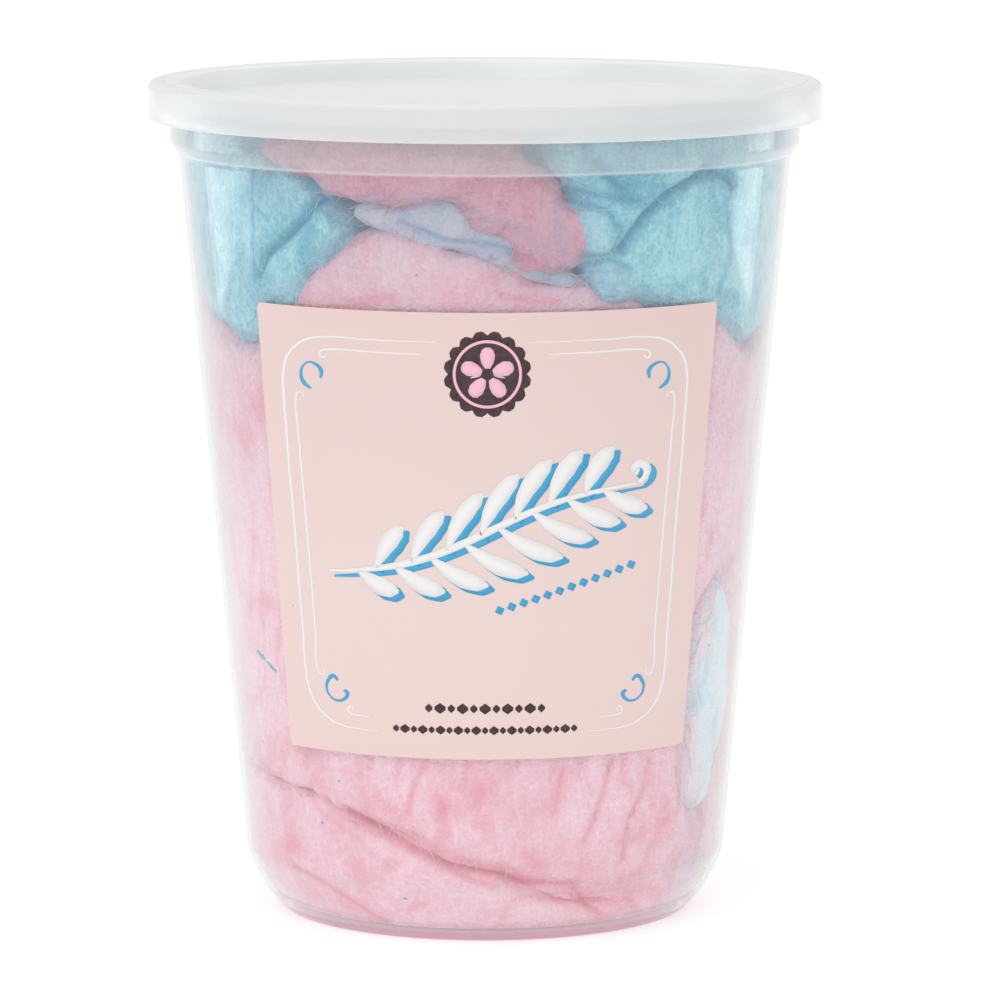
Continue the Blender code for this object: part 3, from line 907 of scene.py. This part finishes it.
# Extra lobes of each wad, as (angle in degrees, height, width, tall, thick, sunk in mm, tilt in degrees)
LOBES = {
    "pink_floss_crown": [
        (12, 123, 8, 7.4, 8, 0, -30), (5, 129, 9, 6, 8, 0.4, -25), (-9, 134, 12, 4.5, 8, 0.3, -12),
        (-28, 136, 10, 4.5, 8, 0.2, 0), (-24, 132.5, 8, 3.6, 8, 0.3, -8), (-16, 131, 7, 3.2, 8, 0.3, -8),
    ],
    "blue_floss_right": [
        (20, 125, 5.2, 6, 8, 1, -25), (47, 121, 12, 11, 10, 0.2, -20), (26, 116, 4.2, 3.6, 6, 1.2, 0),
        (36, 134, 13, 5.5, 9, 0.5, -8),
    ],
    "blue_floss_left": [
        (-42, 128, 8, 6, 8, 0.4, 0), (-36, 122, 6, 4, 7, 0.6, -30), (-45, 116, 5.5, 6, 7, 0.6, 20),
        (-60, 124, 8, 13, 8, 0.2, 0),
    ],
    "pink_floss_body": [
        (-18, 118, 9, 6, 9, 0.2, -8), (-4, 115, 10, 5, 9, 0.3, -12), (14, 111.5, 10, 4, 8, 0.5, 0),
    ],
    "blue_floss_middle": [
        (-19, 126.6, 6, 2, 5, 0.6, 8), (-10, 126, 8, 3.4, 5, 0.4, 12), (2, 122.5, 8, 3.2, 5, 0.5, 24),
        (10, 118.5, 7, 2.2, 5, 0.6, 24), (14, 116.5, 5, 1.5, 5, 0.6, 20),
    ],
    "pink_floss_base": [
        (22, 4, 9, 3, 8, 0.6, 6), (36, 4.5, 9, 3.4, 8, 0.4, 0), (-70, 8, 12, 5, 9, 0.4, 0),
    ],
}

# Folds pressed into the floss: points as (angle, height), then width and depth in mm
FOLDS = [
    ([(-38, 134), (-34, 131), (-33, 129), (-28, 129)], 0.9, 1.4),
    ([(-33, 129), (-36, 126), (-40, 123), (-47, 119), (-50, 115)], 1.0, 1.8),
    ([(-30, 129), (-27, 128.4)], 0.8, 1.0),
    ([(-49, 127), (-45, 125)], 0.6, 0.8),
    ([(-50, 134), (-50, 126), (-51, 115)], 0.8, 0.8),
    ([(-16, 126), (-10, 124), (3, 122), (9, 119)], 0.5, 0.7),
    ([(47, 134), (39, 131), (35, 129), (32, 127), (29, 124), (27, 121)], 1.1, 2.2),
    ([(47, 134), (55, 131)], 1.6, 2.0),
    ([(21, 136), (25, 132), (27, 131)], 1.4, 1.6),
    ([(16, 131), (24, 130), (30, 129)], 1.4, 1.2),
    ([(-35, 23), (-26, 20), (-20, 18), (-15, 16), (-8, 14), (2, 13), (12, 11), (22, 10), (27, 7),
      (32, 5)], 0.9, 1.5),
    ([(-12, 15.6), (-6, 12.5), (3, 10.5)], 0.6, 0.5),
    ([(10, 9), (22, 9)], 0.5, 0.5),
    ([(-55, 11), (-42, 9), (-34, 6), (-28, 4)], 0.7, 0.8),
    ([(41, 31), (40, 26), (36, 21), (35, 14)], 0.8, 0.6),
    ([(30, 32), (29, 28), (27, 23), (24, 18)], 0.8, 0.55),
    ([(-13, 33), (-16, 29), (-19, 22)], 0.8, 0.5),
    ([(-4, 33), (-5, 27)], 0.8, 0.4),
    ([(18, 31), (16, 23)], 1.2, 0.45),
    ([(3, 113.5), (10, 112.5), (14, 112.5)], 0.7, 0.6),
    ([(-35, 108), (-26, 111.5), (-18, 113)], 1.4, 0.5),
    ([(15, 130), (23, 128), (26.5, 124), (25, 120.5), (19, 120)], 0.8, 1.1),
    ([(20, 118.6), (24, 119.2), (29, 117.5)], 0.9, 0.7),
    ([(-31, 127), (-27, 124), (-30, 121)], 0.7, 0.5),
    ([(52, 128), (55, 119), (52, 112)], 1.0, 0.5),
    ([(-62, 128), (-66, 120), (-62, 114)], 0.8, 0.5),
    ([(118, 134), (132, 127), (147, 122), (160, 121)], 1.0, 1.5),
    ([(-172, 132), (-158, 128), (-148, 120), (-146, 113)], 1.0, 1.4),
    ([(-120, 135), (-126, 126), (-124, 118)], 0.8, 0.9),
    ([(104, 92), (122, 84), (140, 81), (158, 74), (172, 62)], 0.9, 1.3),
    ([(-174, 88), (-160, 80), (-142, 77), (-128, 68), (-122, 56)], 0.9, 1.3),
    ([(150, 54), (163, 44), (176, 40)], 0.8, 0.9),
    ([(-150, 50), (-158, 38), (-156, 28)], 0.8, 0.7),
    ([(112, 52), (118, 40), (116, 28)], 0.8, 0.7),
    ([(-100, 80), (-104, 66), (-101, 52)], 0.8, 0.6),
    ([(88, 88), (92, 74), (89, 60)], 0.8, 0.6),
    ([(-84, 96), (-88, 84), (-86, 74)], 0.8, 0.5),
]

# Patches of another tone: (angle in degrees, height, reach in mm, shares of crease colour, which is painted
# shade, mingled and light colour)
PATCHES = [
    (-41, 133, 7, 0, 0.5, 0), (-30, 131, 5, 0, 0.3, 0), (-16, 132, 5, 0.2, 0, 0), (16, 119, 4, 0.3, 0, 0),
    (-9, 128, 5, 0.15, 0, 0), (-34, 110, 6, 0.3, 0, 0), (-6, 112, 7, 0.25, 0, 0),
    (31, 109, 6, 0.25, 0.1, 0), (48, 134, 5, 0.5, 0, 0), (28, 136, 9, 0.35, 0, 0), (-45, 130, 6, 0.3, 0, 0),
    (20, 133, 5, 0.3, 0, 0), (22, 118, 3.5, 0, 0.5, 0), (28, 113, 4, 0, 0.3, 0), (-51, 126, 4, 0.3, 0, 0),
    (-48, 114, 5, 0.3, 0, 0), (-60, 136, 7, 0.2, 0, 0), (66, 62, 9, 0, 0.3, 0), (20, 125, 5, 0, 0, 0.9),
    (25, 116.3, 2.6, 0, 0, 0.9), (-16, 119, 7, 0, 0, 0.8), (44, 122, 8, 0, 0, 0.6),
    (-63, 130, 8, 0, 0, 0.6), (64, 9, 8, 0, 0.5, 0), (25, 116.3, 3.4, 0, 0.5, 0),
]

# Stray tuft and specks of blue floss, as (angle, height, half width and half height in mm, tilt)
TUFTS = [
    (-61, 48, 2.1, 0.6, 22), (-57, 46.6, 1.9, 0.55, 28), (-54.8, 45.7, 0.6, 0.4, 55),
    (-36, 28, 0.45, 0.4, 0), (-42, 20, 0.4, 0.4, 0), (-20, 8, 0.55, 0.3, 10), (-13, 117, 0.4, 0.4, 0),
    (-64, 32, 0.4, 0.3, 0),
]

# The wads from the one that lies over its neighbours to the one that lies under them
LAYERS = [
    "pink_floss_crown", "blue_floss_middle", "blue_floss_left", "blue_floss_right", "pink_floss_body",
    "pink_floss_base", "blue_floss_low", "pink_floss_back", "blue_floss_back",
]

# Share of the swell for each wad that doesn't swell in full
SWELL = {
    "pink_floss_crown": 0.15, "blue_floss_middle": 0.35, "blue_floss_left": 0.8, "blue_floss_right": 0.8,
    "blue_floss_low": 0.3,
}

# The wads that don't have the plain look of their colour; the crown's is the pink with painted shade, for the
# shade under the lid
OTHER_LOOKS = {"pink_floss_crown": "shaded_pink", "blue_floss_middle": "veil", "blue_floss_low": "pale"}

# Grain direction of each wad's wrinkles, as an angle in degrees from upright
GRAIN = {
    "pink_floss_crown": 62, "pink_floss_body": 8, "pink_floss_base": 70, "pink_floss_back": 15,
    "blue_floss_left": 35, "blue_floss_middle": 66, "blue_floss_right": -50, "blue_floss_back": 30,
    "blue_floss_low": 5,
}


def value_noise(points, size):
    """Smooth random values from 0 to 1 with features of a given size, or of three sizes."""
    grid = points / np.asarray(size) + 200.5
    base = np.floor(grid).astype(int)
    part = grid - base
    part = part * part * (3 - 2 * part)
    total = np.zeros(len(points))
    for corner in range(8):
        shift = np.array([corner & 1, corner >> 1 & 1, corner >> 2 & 1])
        weight = np.prod(np.where(shift, part, 1 - part), axis=1)
        index = (base + shift) % NOISE_CELLS
        total += weight * RANDOM[index[:, 0], index[:, 1], index[:, 2]]
    return total


def fractal(points, size, octaves=3):
    """Layers of noise, from -1 to 1."""
    total = np.zeros(len(points))
    for layer in range(octaves):
        total += (value_noise(points + 7.3 * layer * MM, np.asarray(size) / 2 ** layer) - 0.5) / 2 ** layer
    return total


def fold_distance(angles, heights, radii, path):
    """Distance in metres from surface points to a fold's path, measured along the surface."""
    nearest = np.full(len(angles), 1.0)
    for (angle_a, height_a), (angle_b, height_b) in zip(path, path[1:]):
        across = (angles - math.radians(angle_a)) * radii
        up = heights - height_a * MM
        run = math.radians(angle_b - angle_a) * radii
        rise = (height_b - height_a) * MM
        along = np.clip((across * run + up * rise) / (run ** 2 + rise ** 2), 0, 1)
        nearest = np.minimum(nearest, np.hypot(across - along * run, up - along * rise))
    return nearest


def inner_radius(heights):
    """Inner radius of the tub at heights given as an array."""
    foot_radii, foot_heights, _ = np.array(TUB_SECTION[1:5]).T * MM
    foot = np.interp(heights, foot_heights, foot_radii)
    return np.where(heights < CREASE_HEIGHT, foot, wall_radius(heights) - WALL)


def soft_limit(values, limit, softness):
    """Values held below a limit, with a soft knee."""
    return limit - softness * np.logaddexp(0, (limit - values) / softness)


def pressed(radii, room):
    """Radii brought out towards the wall, all but those near the axis."""
    gap = room - radii
    kept = np.clip(gap, 0, None) ** 2 / (np.clip(gap, 0, None) + 7 * MM)
    moved = np.where(gap > 0, gap - kept, 0.6 * gap) * np.exp(-np.clip(gap / MM - 6, 0, None) / 6)
    return radii + moved * np.clip(radii / (25 * MM), 0, 1) ** 2


def rows_of(source, key):
    """Three values for every vertex or face as rows of an array."""
    values = np.empty(len(source) * 3)
    source.foreach_get(key, values)
    return values.reshape(-1, 3)


def depth_in_neighbours(places, neighbours):
    """Signed distances from places to each neighbour, below zero inside it, up to a reach."""
    found = {}
    for name, (tree, low, high) in neighbours.items():
        nearest = np.full(len(places), PROBE_REACH)
        near = np.all((places > low - PROBE_REACH) & (places < high + PROBE_REACH), axis=1)
        for index in np.nonzero(near)[0]:
            place = Vector(places[index])
            spot, normal, _, apart = tree.find_nearest(place, PROBE_REACH)
            if spot is not None:
                nearest[index] = apart if (place - spot).dot(normal) > 0 else -apart
        found[name] = nearest
    return found


def nearest_of(found, names, count):
    """Signed distance to the nearest of the named neighbours."""
    return np.min([np.full(count, PROBE_REACH)] + [found[name] for name in names if name in found], axis=0)


def evened(mesh, values, rounds):
    """Values for each vertex averaged with those of the vertices beside it, a number of times."""
    ends = np.empty(len(mesh.edges) * 2, dtype=np.int64)
    mesh.edges.foreach_get("vertices", ends)
    start, end = ends[0::2], ends[1::2]
    count = len(values)
    shared = np.bincount(start, minlength=count) + np.bincount(end, minlength=count) + 1.0
    for _ in range(rounds):
        summed = np.bincount(start, values[end], count) + np.bincount(end, values[start], count)
        values = (values + summed) / shared
    return values


def meetings(mesh, node, probes, guides):
    """Signed distance to the wads over this one, and distances to those of its own and other colour."""
    found = depth_in_neighbours(probes, {name: tree for name, tree in guides.items() if name != node})
    count = len(probes)
    alike = [name for name in guides if name[:4] == node[:4]]
    unlike = [name for name in guides if name[:4] != node[:4] and name != "blue_floss_low"]
    return (
        evened(mesh, nearest_of(found, LAYERS[:LAYERS.index(node)], count), 3),
        evened(mesh, np.abs(nearest_of(found, alike, count)), 6),
        evened(mesh, np.abs(nearest_of(found, unlike, count)), 6),
    )


def along_grain(points, node):
    """Points turned so that the wad's grain runs upright."""
    lean = math.radians(GRAIN[node])
    across, deep, up = points.T
    sine, cosine = math.sin(lean), math.cos(lean)
    return np.stack([across * cosine - up * sine, deep, across * sine + up * cosine], axis=1)


def folded(inward, crease, angles, heights, radii):
    """Inward push and painted crease shade with those of the folds, which have a slight lip beside them."""
    for path, width, depth in FOLDS:
        apart = fold_distance(angles, heights, radii, path) / (width * MM)
        lip = 0.25 * np.exp(-((apart - 2.6) / 1.3) ** 2)
        inward = inward + depth * MM * (np.exp(-apart ** 1.5) - lip)
        crease = np.maximum(crease, min(0.9, 0.35 + 0.3 * depth) * np.exp(-(apart / 0.9) ** 1.4))
    return inward, crease


def patched(tones, angles, heights, radii, puffs, skin):
    """The three tones of a wad, raised over the patches near its skin."""
    for angle, height, reach, *shares in PATCHES:
        apart = fold_distance(angles, heights, radii, [(angle, height), (angle + 0.1, height)]) / (reach * MM)
        spot = np.exp(-(apart * (1 + 0.5 * puffs)) ** 2) * skin
        tones = [np.maximum(tone, part * spot) for tone, part in zip(tones, shares)]
    return tones


def wisp_tones(angles, heights, wrinkles, puffs):
    """Mingled and light tones of the pale wisp low down, which fades into the pink round it."""
    degrees, levels = np.degrees(angles), heights / MM - 38
    beside = np.abs(degrees - 61 + 0.12 * levels) / 4.6
    within = np.clip(1.5 - np.maximum(beside, np.abs(levels) / 13) - 0.9 * wrinkles - 0.5 * puffs, 0, 1)
    return np.where(degrees < 63, 1 - within, 0.0), np.where(degrees < 66, 0.2, 1.0)


def sculpt_wad(piece, node, settings, guides):
    """Puffs, wrinkles, folds and grooves moved into a wad's surface, kept inside the tub."""
    mesh = piece.data
    places = rows_of(mesh.vertices, "co")
    normals = rows_of(mesh.vertex_normals, "vector")
    radii = np.maximum(np.hypot(places[:, 0], places[:, 1]), 1e-6)
    angles = np.arctan2(places[:, 0], -places[:, 1])
    heights = places[:, 2].copy()
    skin = np.clip(1 - (inner_radius(heights) - radii - SKIN_DEPTHS[0]) / SKIN_DEPTHS[1], 0, 1)
    probes = places.copy()
    probes[:, :2] *= (1 - PROBE_DEPTH * skin / radii)[:, None]
    above, to_same, to_other = meetings(mesh, node, probes, guides)
    same_edge, other_edge = (np.exp(-apart / GROOVE_WIDTH) for apart in (to_same, to_other))
    warp = np.stack([value_noise(places + shift, WARP_SIZE) for shift in (0, 0.31, 0.57)], axis=1) - 0.5
    warped = places + warp * WARP * MM
    puffs = fractal(warped, PUFF_SIZE)
    seams = 1 - np.abs(2 * value_noise(warped + 0.11, SEAM_SIZE) - 1)
    seams = np.clip((seams - 0.9) / 0.1, 0, 1) ** 2
    wrinkles = fractal(along_grain(warped, node), WRINKLE_SIZES, 2)
    crumbs = fractal(places, CRUMB_SIZE, 2)
    relief = settings.puff * puffs + settings.wrinkle * wrinkles + settings.crumb * crumbs
    relief = 2 * relief - 0.5 * MM * seams
    firm = 1.0
    if node in ("pink_floss_body", "pink_floss_base"):
        firm = np.clip((np.degrees(angles) + 48) / 34, 0.15, 1)
    inward = settings.groove * np.maximum(firm * same_edge, 0.5 * other_edge)
    inward = inward + 1.3 * np.clip(-above, 0, DUCK_MOST)
    # painted shade: crease darkens the seams, the dips of the puffs and wrinkles, and where wads meet
    crease = 0.22 * seams + 0.3 * np.clip(-2.4 * puffs - 0.25, 0, 1)
    crease = crease + 0.25 * np.clip(-3 * wrinkles - 0.35, 0, 1)
    crease = np.maximum(crease, 0.8 * firm * np.exp(-to_same / (1.0 * MM)))
    crease = np.maximum(crease, 0.3 * np.exp(-to_other / (0.7 * MM)))
    inward, crease = folded(inward, crease, angles, heights, radii)
    mingle = 0.85 * np.exp(-np.clip(to_other + 0.5 * MM * puffs, 0, None) / MINGLE_WIDTH)
    # cloud pales the floss, partly at random and partly as a painted highlight on the raised wrinkles
    cloud = 0.5 + 0.9 * fractal(warped + 0.05, CLOUD_SIZE) + 0.9 * wrinkles
    crease, mingle, cloud = patched([crease, mingle, cloud], angles, heights, radii, puffs, skin)
    if node == "blue_floss_low":
        mingle, cloud = wisp_tones(angles, heights, wrinkles, puffs)
    smooth = 1 - 0.7 * skin * np.exp(-np.minimum(to_same, to_other) / (1 * MM))
    places = places + normals * (relief * smooth)[:, None]
    near_floor = np.clip(1 - (places[:, 2] - 2 * MM) / (8 * MM), 0, 1) * skin
    places[:, 2] -= 1.8 * MM * near_floor
    radii = np.maximum(np.hypot(places[:, 0], places[:, 1]), 1e-6)
    room = inner_radius(places[:, 2])
    wanted = pressed(radii, room) + 2.0 * MM * near_floor
    held = soft_limit(wanted - inward * skin, room - settings.wall_gap, 0.12 * MM)
    places[:, :2] *= (held / radii)[:, None]
    places[:, 2] = soft_limit(places[:, 2], FLOSS_TOP, 0.2 * MM)
    places[:, 2] = -soft_limit(-places[:, 2], -FLOSS_FLOOR, 0.1 * MM)
    mesh.vertices.foreach_set("co", places.ravel())
    mesh.update()
    for key, values, most in (("crease", crease, MOST_CREASE), ("mingle", mingle, 1), ("cloud", cloud, 1)):
        store(mesh, key, np.clip(values, 0, most))


def store(mesh, name, values):
    """Keeps a value for each vertex where the material can read it."""
    attribute = mesh.attributes.new(name, "FLOAT", "POINT")
    attribute.data.foreach_set("value", values.astype(np.float32))


def add_ball(radius, angle, height, sizes, tilt, subdivisions):
    """Ball at an angle round the tub, with its middle turned outwards; height and sizes in mm."""
    turn = math.radians(angle)
    bpy.ops.mesh.primitive_ico_sphere_add(
        subdivisions=subdivisions, radius=1,
        location=(radius * math.sin(turn), -radius * math.cos(turn), height * MM),
        rotation=(0, math.radians(tilt), turn), scale=[size * MM for size in sizes],
    )


def swollen_wad(node, settings):
    """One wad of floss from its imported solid, with its lobes, swollen towards its neighbours."""
    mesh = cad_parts[node].data.copy()
    mesh.name = node + "_wad"
    mesh.materials.clear()
    wad = linked(node + "_wad", mesh)
    to_edit()
    bpy.ops.mesh.remove_doubles(threshold=SAME)
    for angle, height, width, tall, thick, sunk, tilt in LOBES.get(node, ()):
        radius = wall_radius(height * MM) - WALL - (thick + sunk) * MM
        add_ball(radius, angle, height, (width, thick, tall), tilt, 4)
    to_object()
    apply_modifier(wad, "REMESH", mode="VOXEL", voxel_size=GUIDE_VOXEL)
    apply_modifier(wad, "SMOOTH", factor=0.5, iterations=8)
    apply_modifier(wad, "DISPLACE", strength=settings.swell * SWELL.get(node, 1.0), mid_level=0.0)
    return wad


def guide(wad):
    """Search tree of a swollen wad, with its lowest and highest corner."""
    corners = rows_of(wad.data.vertices, "co")
    faces = [tuple(face.vertices) for face in wad.data.polygons]
    return BVHTree.FromPolygons(corners.tolist(), faces), corners.min(axis=0), corners.max(axis=0)


def loose_fibres(wad, node, settings):
    """Short loose fibres that lie against the wall over a wad, joined to it."""
    mesh = wad.data
    centres = rows_of(mesh.polygons, "center")
    radii = np.maximum(np.hypot(centres[:, 0], centres[:, 1]), 1e-6)
    outer = np.flatnonzero(inner_radius(centres[:, 2]) - radii < 2.2 * MM)
    chance = np.random.default_rng(len(node) + 40)
    area = sum(mesh.polygons[int(index)].area for index in outer[::40]) * 40
    count = int(area / settings.fibre_room ** 2)
    if not count:
        return
    roots = centres[chance.choice(outer, count)]
    steps = np.linspace(-0.5, 0.5, FIBRE_POINTS)
    reach = chance.uniform(*FIBRE_LENGTHS, (count, 1)) * MM
    lean = math.radians(90 - GRAIN[node]) + chance.normal(0, 0.55, (count, 1))
    course = lean + chance.normal(0, 0.9, (count, 1)) * steps
    course = course + 0.25 * np.sin(9 * steps + chance.uniform(0, 6, (count, 1)))
    across = np.cumsum(np.cos(course), axis=1) * reach / FIBRE_POINTS
    upward = np.cumsum(np.sin(course), axis=1) * reach / FIBRE_POINTS
    heights = np.clip(roots[:, 2:] + upward - upward.mean(axis=1, keepdims=True), *FIBRE_LEVELS)
    room = inner_radius(heights) - chance.uniform(*FIBRE_DEPTHS, (count, 1)) * MM
    angles = np.arctan2(roots[:, :1], -roots[:, 1:2]) + (across - across.mean(axis=1, keepdims=True)) / room
    half = chance.uniform(*FIBRE_HALVES, (count, 1)) * MM * (1 - (1.9 * steps) ** 4)
    corners = []
    for turn in (0.0, math.tau / 3, 2 * math.tau / 3):
        radius = room + half * math.cos(turn) * 0.6
        aside = half * math.sin(turn)
        level = heights + aside * np.cos(course)
        angle = angles - aside * np.sin(course) / room
        corners.append(np.stack([radius * np.sin(angle), -radius * np.cos(angle), level], axis=2))
    points = np.stack(corners, axis=2).reshape(-1, 3)
    ring = np.arange(3)
    sides = np.stack([ring, (ring + 1) % 3, (ring + 1) % 3 + 3, ring + 3], axis=1)
    one = (sides[None] + 3 * np.arange(FIBRE_POINTS - 1)[:, None, None]).reshape(-1, 4)
    faces = (one[None] + 3 * FIBRE_POINTS * np.arange(count)[:, None, None]).reshape(-1, 4).tolist()
    ends = 3 * FIBRE_POINTS * np.arange(count)[:, None]
    faces += (ends + np.array([[2, 1, 0]])).tolist()
    faces += (ends + 3 * (FIBRE_POINTS - 1) + np.array([[0, 1, 2]])).tolist()
    loose = bpy.data.meshes.new(node + "_fibres")
    loose.from_pydata(points.tolist(), [], faces)
    pale = (chance.random(count) < 0.6).astype(float)
    for key, tones in (("crease", 0.32 * (1 - pale)), ("mingle", 0 * pale), ("cloud", pale)):
        store(loose, key, np.repeat(tones, 3 * FIBRE_POINTS))
    linked(node + "_fibres", loose)
    to_edit()
    bpy.ops.mesh.normals_make_consistent(inside=False)
    to_object()
    activate_with(wad)
    bpy.ops.object.join()


class CANDYTUB_OT_floss(bpy.types.Operator):
    """Wads of pink and blue floss packed in the tub"""

    bl_idname = "candytub.floss"
    bl_label = "Floss"

    def execute(self, context):
        settings = context.scene.candytub_floss
        wads = {node: swollen_wad(node, settings) for node in sorted(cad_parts) if "floss" in node}
        if not wads:
            raise RuntimeError("the frame holds no floss")
        guides = {node: guide(wad) for node, wad in wads.items()}
        looks = {}
        for look in LOOKS:
            tones = [getattr(settings, f"{look}_{tone}") for tone in TONES]
            shade = settings.high_shade if look == "pink" else WHITE[:3]
            looks[look] = floss_material(look + "_floss", *tones, shade, settings.painted_glow)
        for node, wad in wads.items():
            slot = node[:4] + "_floss"
            area = sum(face.area for face in wad.data.polygons)
            voxel = max(settings.voxel, math.sqrt(area / MOST_SQUARES))
            apply_modifier(wad, "REMESH", mode="VOXEL", voxel_size=voxel)
            apply_modifier(wad, "SMOOTH", factor=0.5, iterations=4)
            sculpt_wad(wad, node, settings, guides)
            loose_fibres(wad, node, settings)
            activate(wad)
            bpy.ops.object.shade_smooth()
            wad.data.materials.append(looks[OTHER_LOOKS.get(node, slot[:4])])
            finish_piece(wad, slot, node)
        self.tufts(looks["blue"])
        return {"FINISHED"}

    def tufts(self, material):
        """A stray tuft and specks of blue floss against the wall."""
        deselect()
        for place, (angle, height, width, tall, tilt) in enumerate(TUFTS):
            add_ball(inner_radius(height * MM) - TUFT_DEPTH, angle, height, (width, 0.25, tall), tilt, 3)
            to_edit()
            bpy.ops.transform.vertex_random(offset=0.12 * tall * MM, seed=place)
            to_object()
            if place:
                activate_with(tuft)
                bpy.ops.object.join()
            tuft = bpy.context.object
        bpy.ops.object.transform_apply(location=True, rotation=True, scale=True)
        tuft = named("blue_tufts")
        bpy.ops.object.shade_smooth()
        store(tuft.data, "crease", np.full(len(tuft.data.vertices), 0.45))
        tuft.data.materials.append(material)
        finish_piece(tuft, "blue_floss")


# ---- stage


CAMERA_TURN = math.radians(-0.09)
LAMP_HEIGHT = 0.5

# The lamps beside the tub, as (name, place, width, share of the side power)
SIDE_LAMPS = [
    ("left_strip", (-0.465, 0.23, 0.12), 0.2, 0.78),
    ("left_edge", (-0.465, 0.085, 0.12), 0.08, 0.2),
    ("right_strip", (0.465, 0.23, 0.12), 0.17, 0.74),
]


class CANDYTUB_OT_stage(bpy.types.Operator):
    """Pale floor, soft light and the camera"""

    bl_idname = "candytub.stage"
    bl_label = "Stage"

    def execute(self, context):
        settings = context.scene.candytub_stage
        context.scene.cycles.diffuse_bounces = 2
        context.scene.cycles.max_bounces = 6
        deselect()
        bpy.ops.mesh.primitive_plane_add(size=12, location=(0, 0, 0))
        floor = named("floor")
        made, nodes = new_material("floor_paint")
        soft = nodes.between(nodes.noise(nodes.place(), 3.0), 0.3, 0.7, 0.0, 0.02)
        tone = nodes.mix(soft, solid(settings.floor), (0.9, 0.9, 0.9, 1))
        nodes.surface(nodes.add(
            "ShaderNodeBsdfPrincipled", Base_Color=tone, Roughness=0.9, Emission_Color=WHITE,
            Emission_Strength=settings.floor_glow,
        ))
        floor.data.materials.append(made)
        world = bpy.data.worlds.new("daylight")
        world.use_nodes = True
        backdrop = world.node_tree.nodes["Background"]
        backdrop.inputs["Color"].default_value = (1, 1, 1, 1)
        backdrop.inputs["Strength"].default_value = settings.daylight
        context.scene.world = world
        self.lamp("key_light", (-0.25, -0.55, 0.75), 0.5, settings.key_power)
        for name, place, width, part in SIDE_LAMPS:
            self.lamp(name, place, width, part * settings.side_power)
        deselect()
        bpy.ops.object.camera_add(
            location=(0, -settings.camera_distance, settings.camera_height),
            rotation=(math.pi / 2 - settings.camera_tilt, 0, CAMERA_TURN),
        )
        camera = bpy.context.object
        camera.name = "camera"
        camera.data.lens = settings.lens
        camera.data.sensor_width = 36
        camera.data.clip_end = 50
        context.scene.camera = camera
        context.scene.view_settings.view_transform = "Standard"
        return {"FINISHED"}

    def lamp(self, name, place, width, power):
        """Soft area light that looks at the tub's middle."""
        bpy.ops.object.light_add(type="AREA", location=place)
        light = bpy.context.object
        light.name = name
        light.data.shape = "RECTANGLE"
        light.data.size = width
        light.data.size_y = LAMP_HEIGHT
        light.data.energy = power
        light.visible_diffuse = name == "key_light"
        aim = Vector((0, 0, HEIGHT / 2)) - Vector(place)
        light.rotation_euler = aim.to_track_quat("-Z", "Y").to_euler()


class CANDYTUB_PT_panel(bpy.types.Panel):
    """Lists the pieces of the tub"""

    bl_label = "Candy Tub"
    bl_idname = "CANDYTUB_PT_panel"
    bl_space_type = "VIEW_3D"
    bl_region_type = "UI"
    bl_category = "Candy Tub"

    def draw(self, context):
        for operator in STEPS:
            self.layout.operator(operator.bl_idname)
        for name, _ in SETTINGS:
            box = self.layout.box()
            for key in getattr(context.scene, name).__annotations__:
                box.prop(getattr(context.scene, name), key)


STEPS = (
    CANDYTUB_OT_stage, CANDYTUB_OT_tub, CANDYTUB_OT_lid, CANDYTUB_OT_label, CANDYTUB_OT_label_print,
    CANDYTUB_OT_floss,
)
SETTINGS = (
    ("candytub_plastic", PlasticSettings), ("candytub_label", LabelSettings),
    ("candytub_floss", FlossSettings), ("candytub_stage", StageSettings),
)


def register():
    """Registers the settings, operators and panel."""
    for name, group in SETTINGS:
        bpy.utils.register_class(group)
        setattr(bpy.types.Scene, name, PointerProperty(type=group))
    for made in (*STEPS, CANDYTUB_PT_panel):
        bpy.utils.register_class(made)


def unregister():
    """Takes everything off again."""
    for made in (CANDYTUB_PT_panel, *reversed(STEPS)):
        bpy.utils.unregister_class(made)
    for name, group in reversed(SETTINGS):
        delattr(bpy.types.Scene, name)
        bpy.utils.unregister_class(group)


def main():
    """Builds every piece in order."""
    register()
    for operator in STEPS:
        group, name = operator.bl_idname.split(".")
        getattr(getattr(bpy.ops, group), name)()


if __name__ == "__main__":
    main()
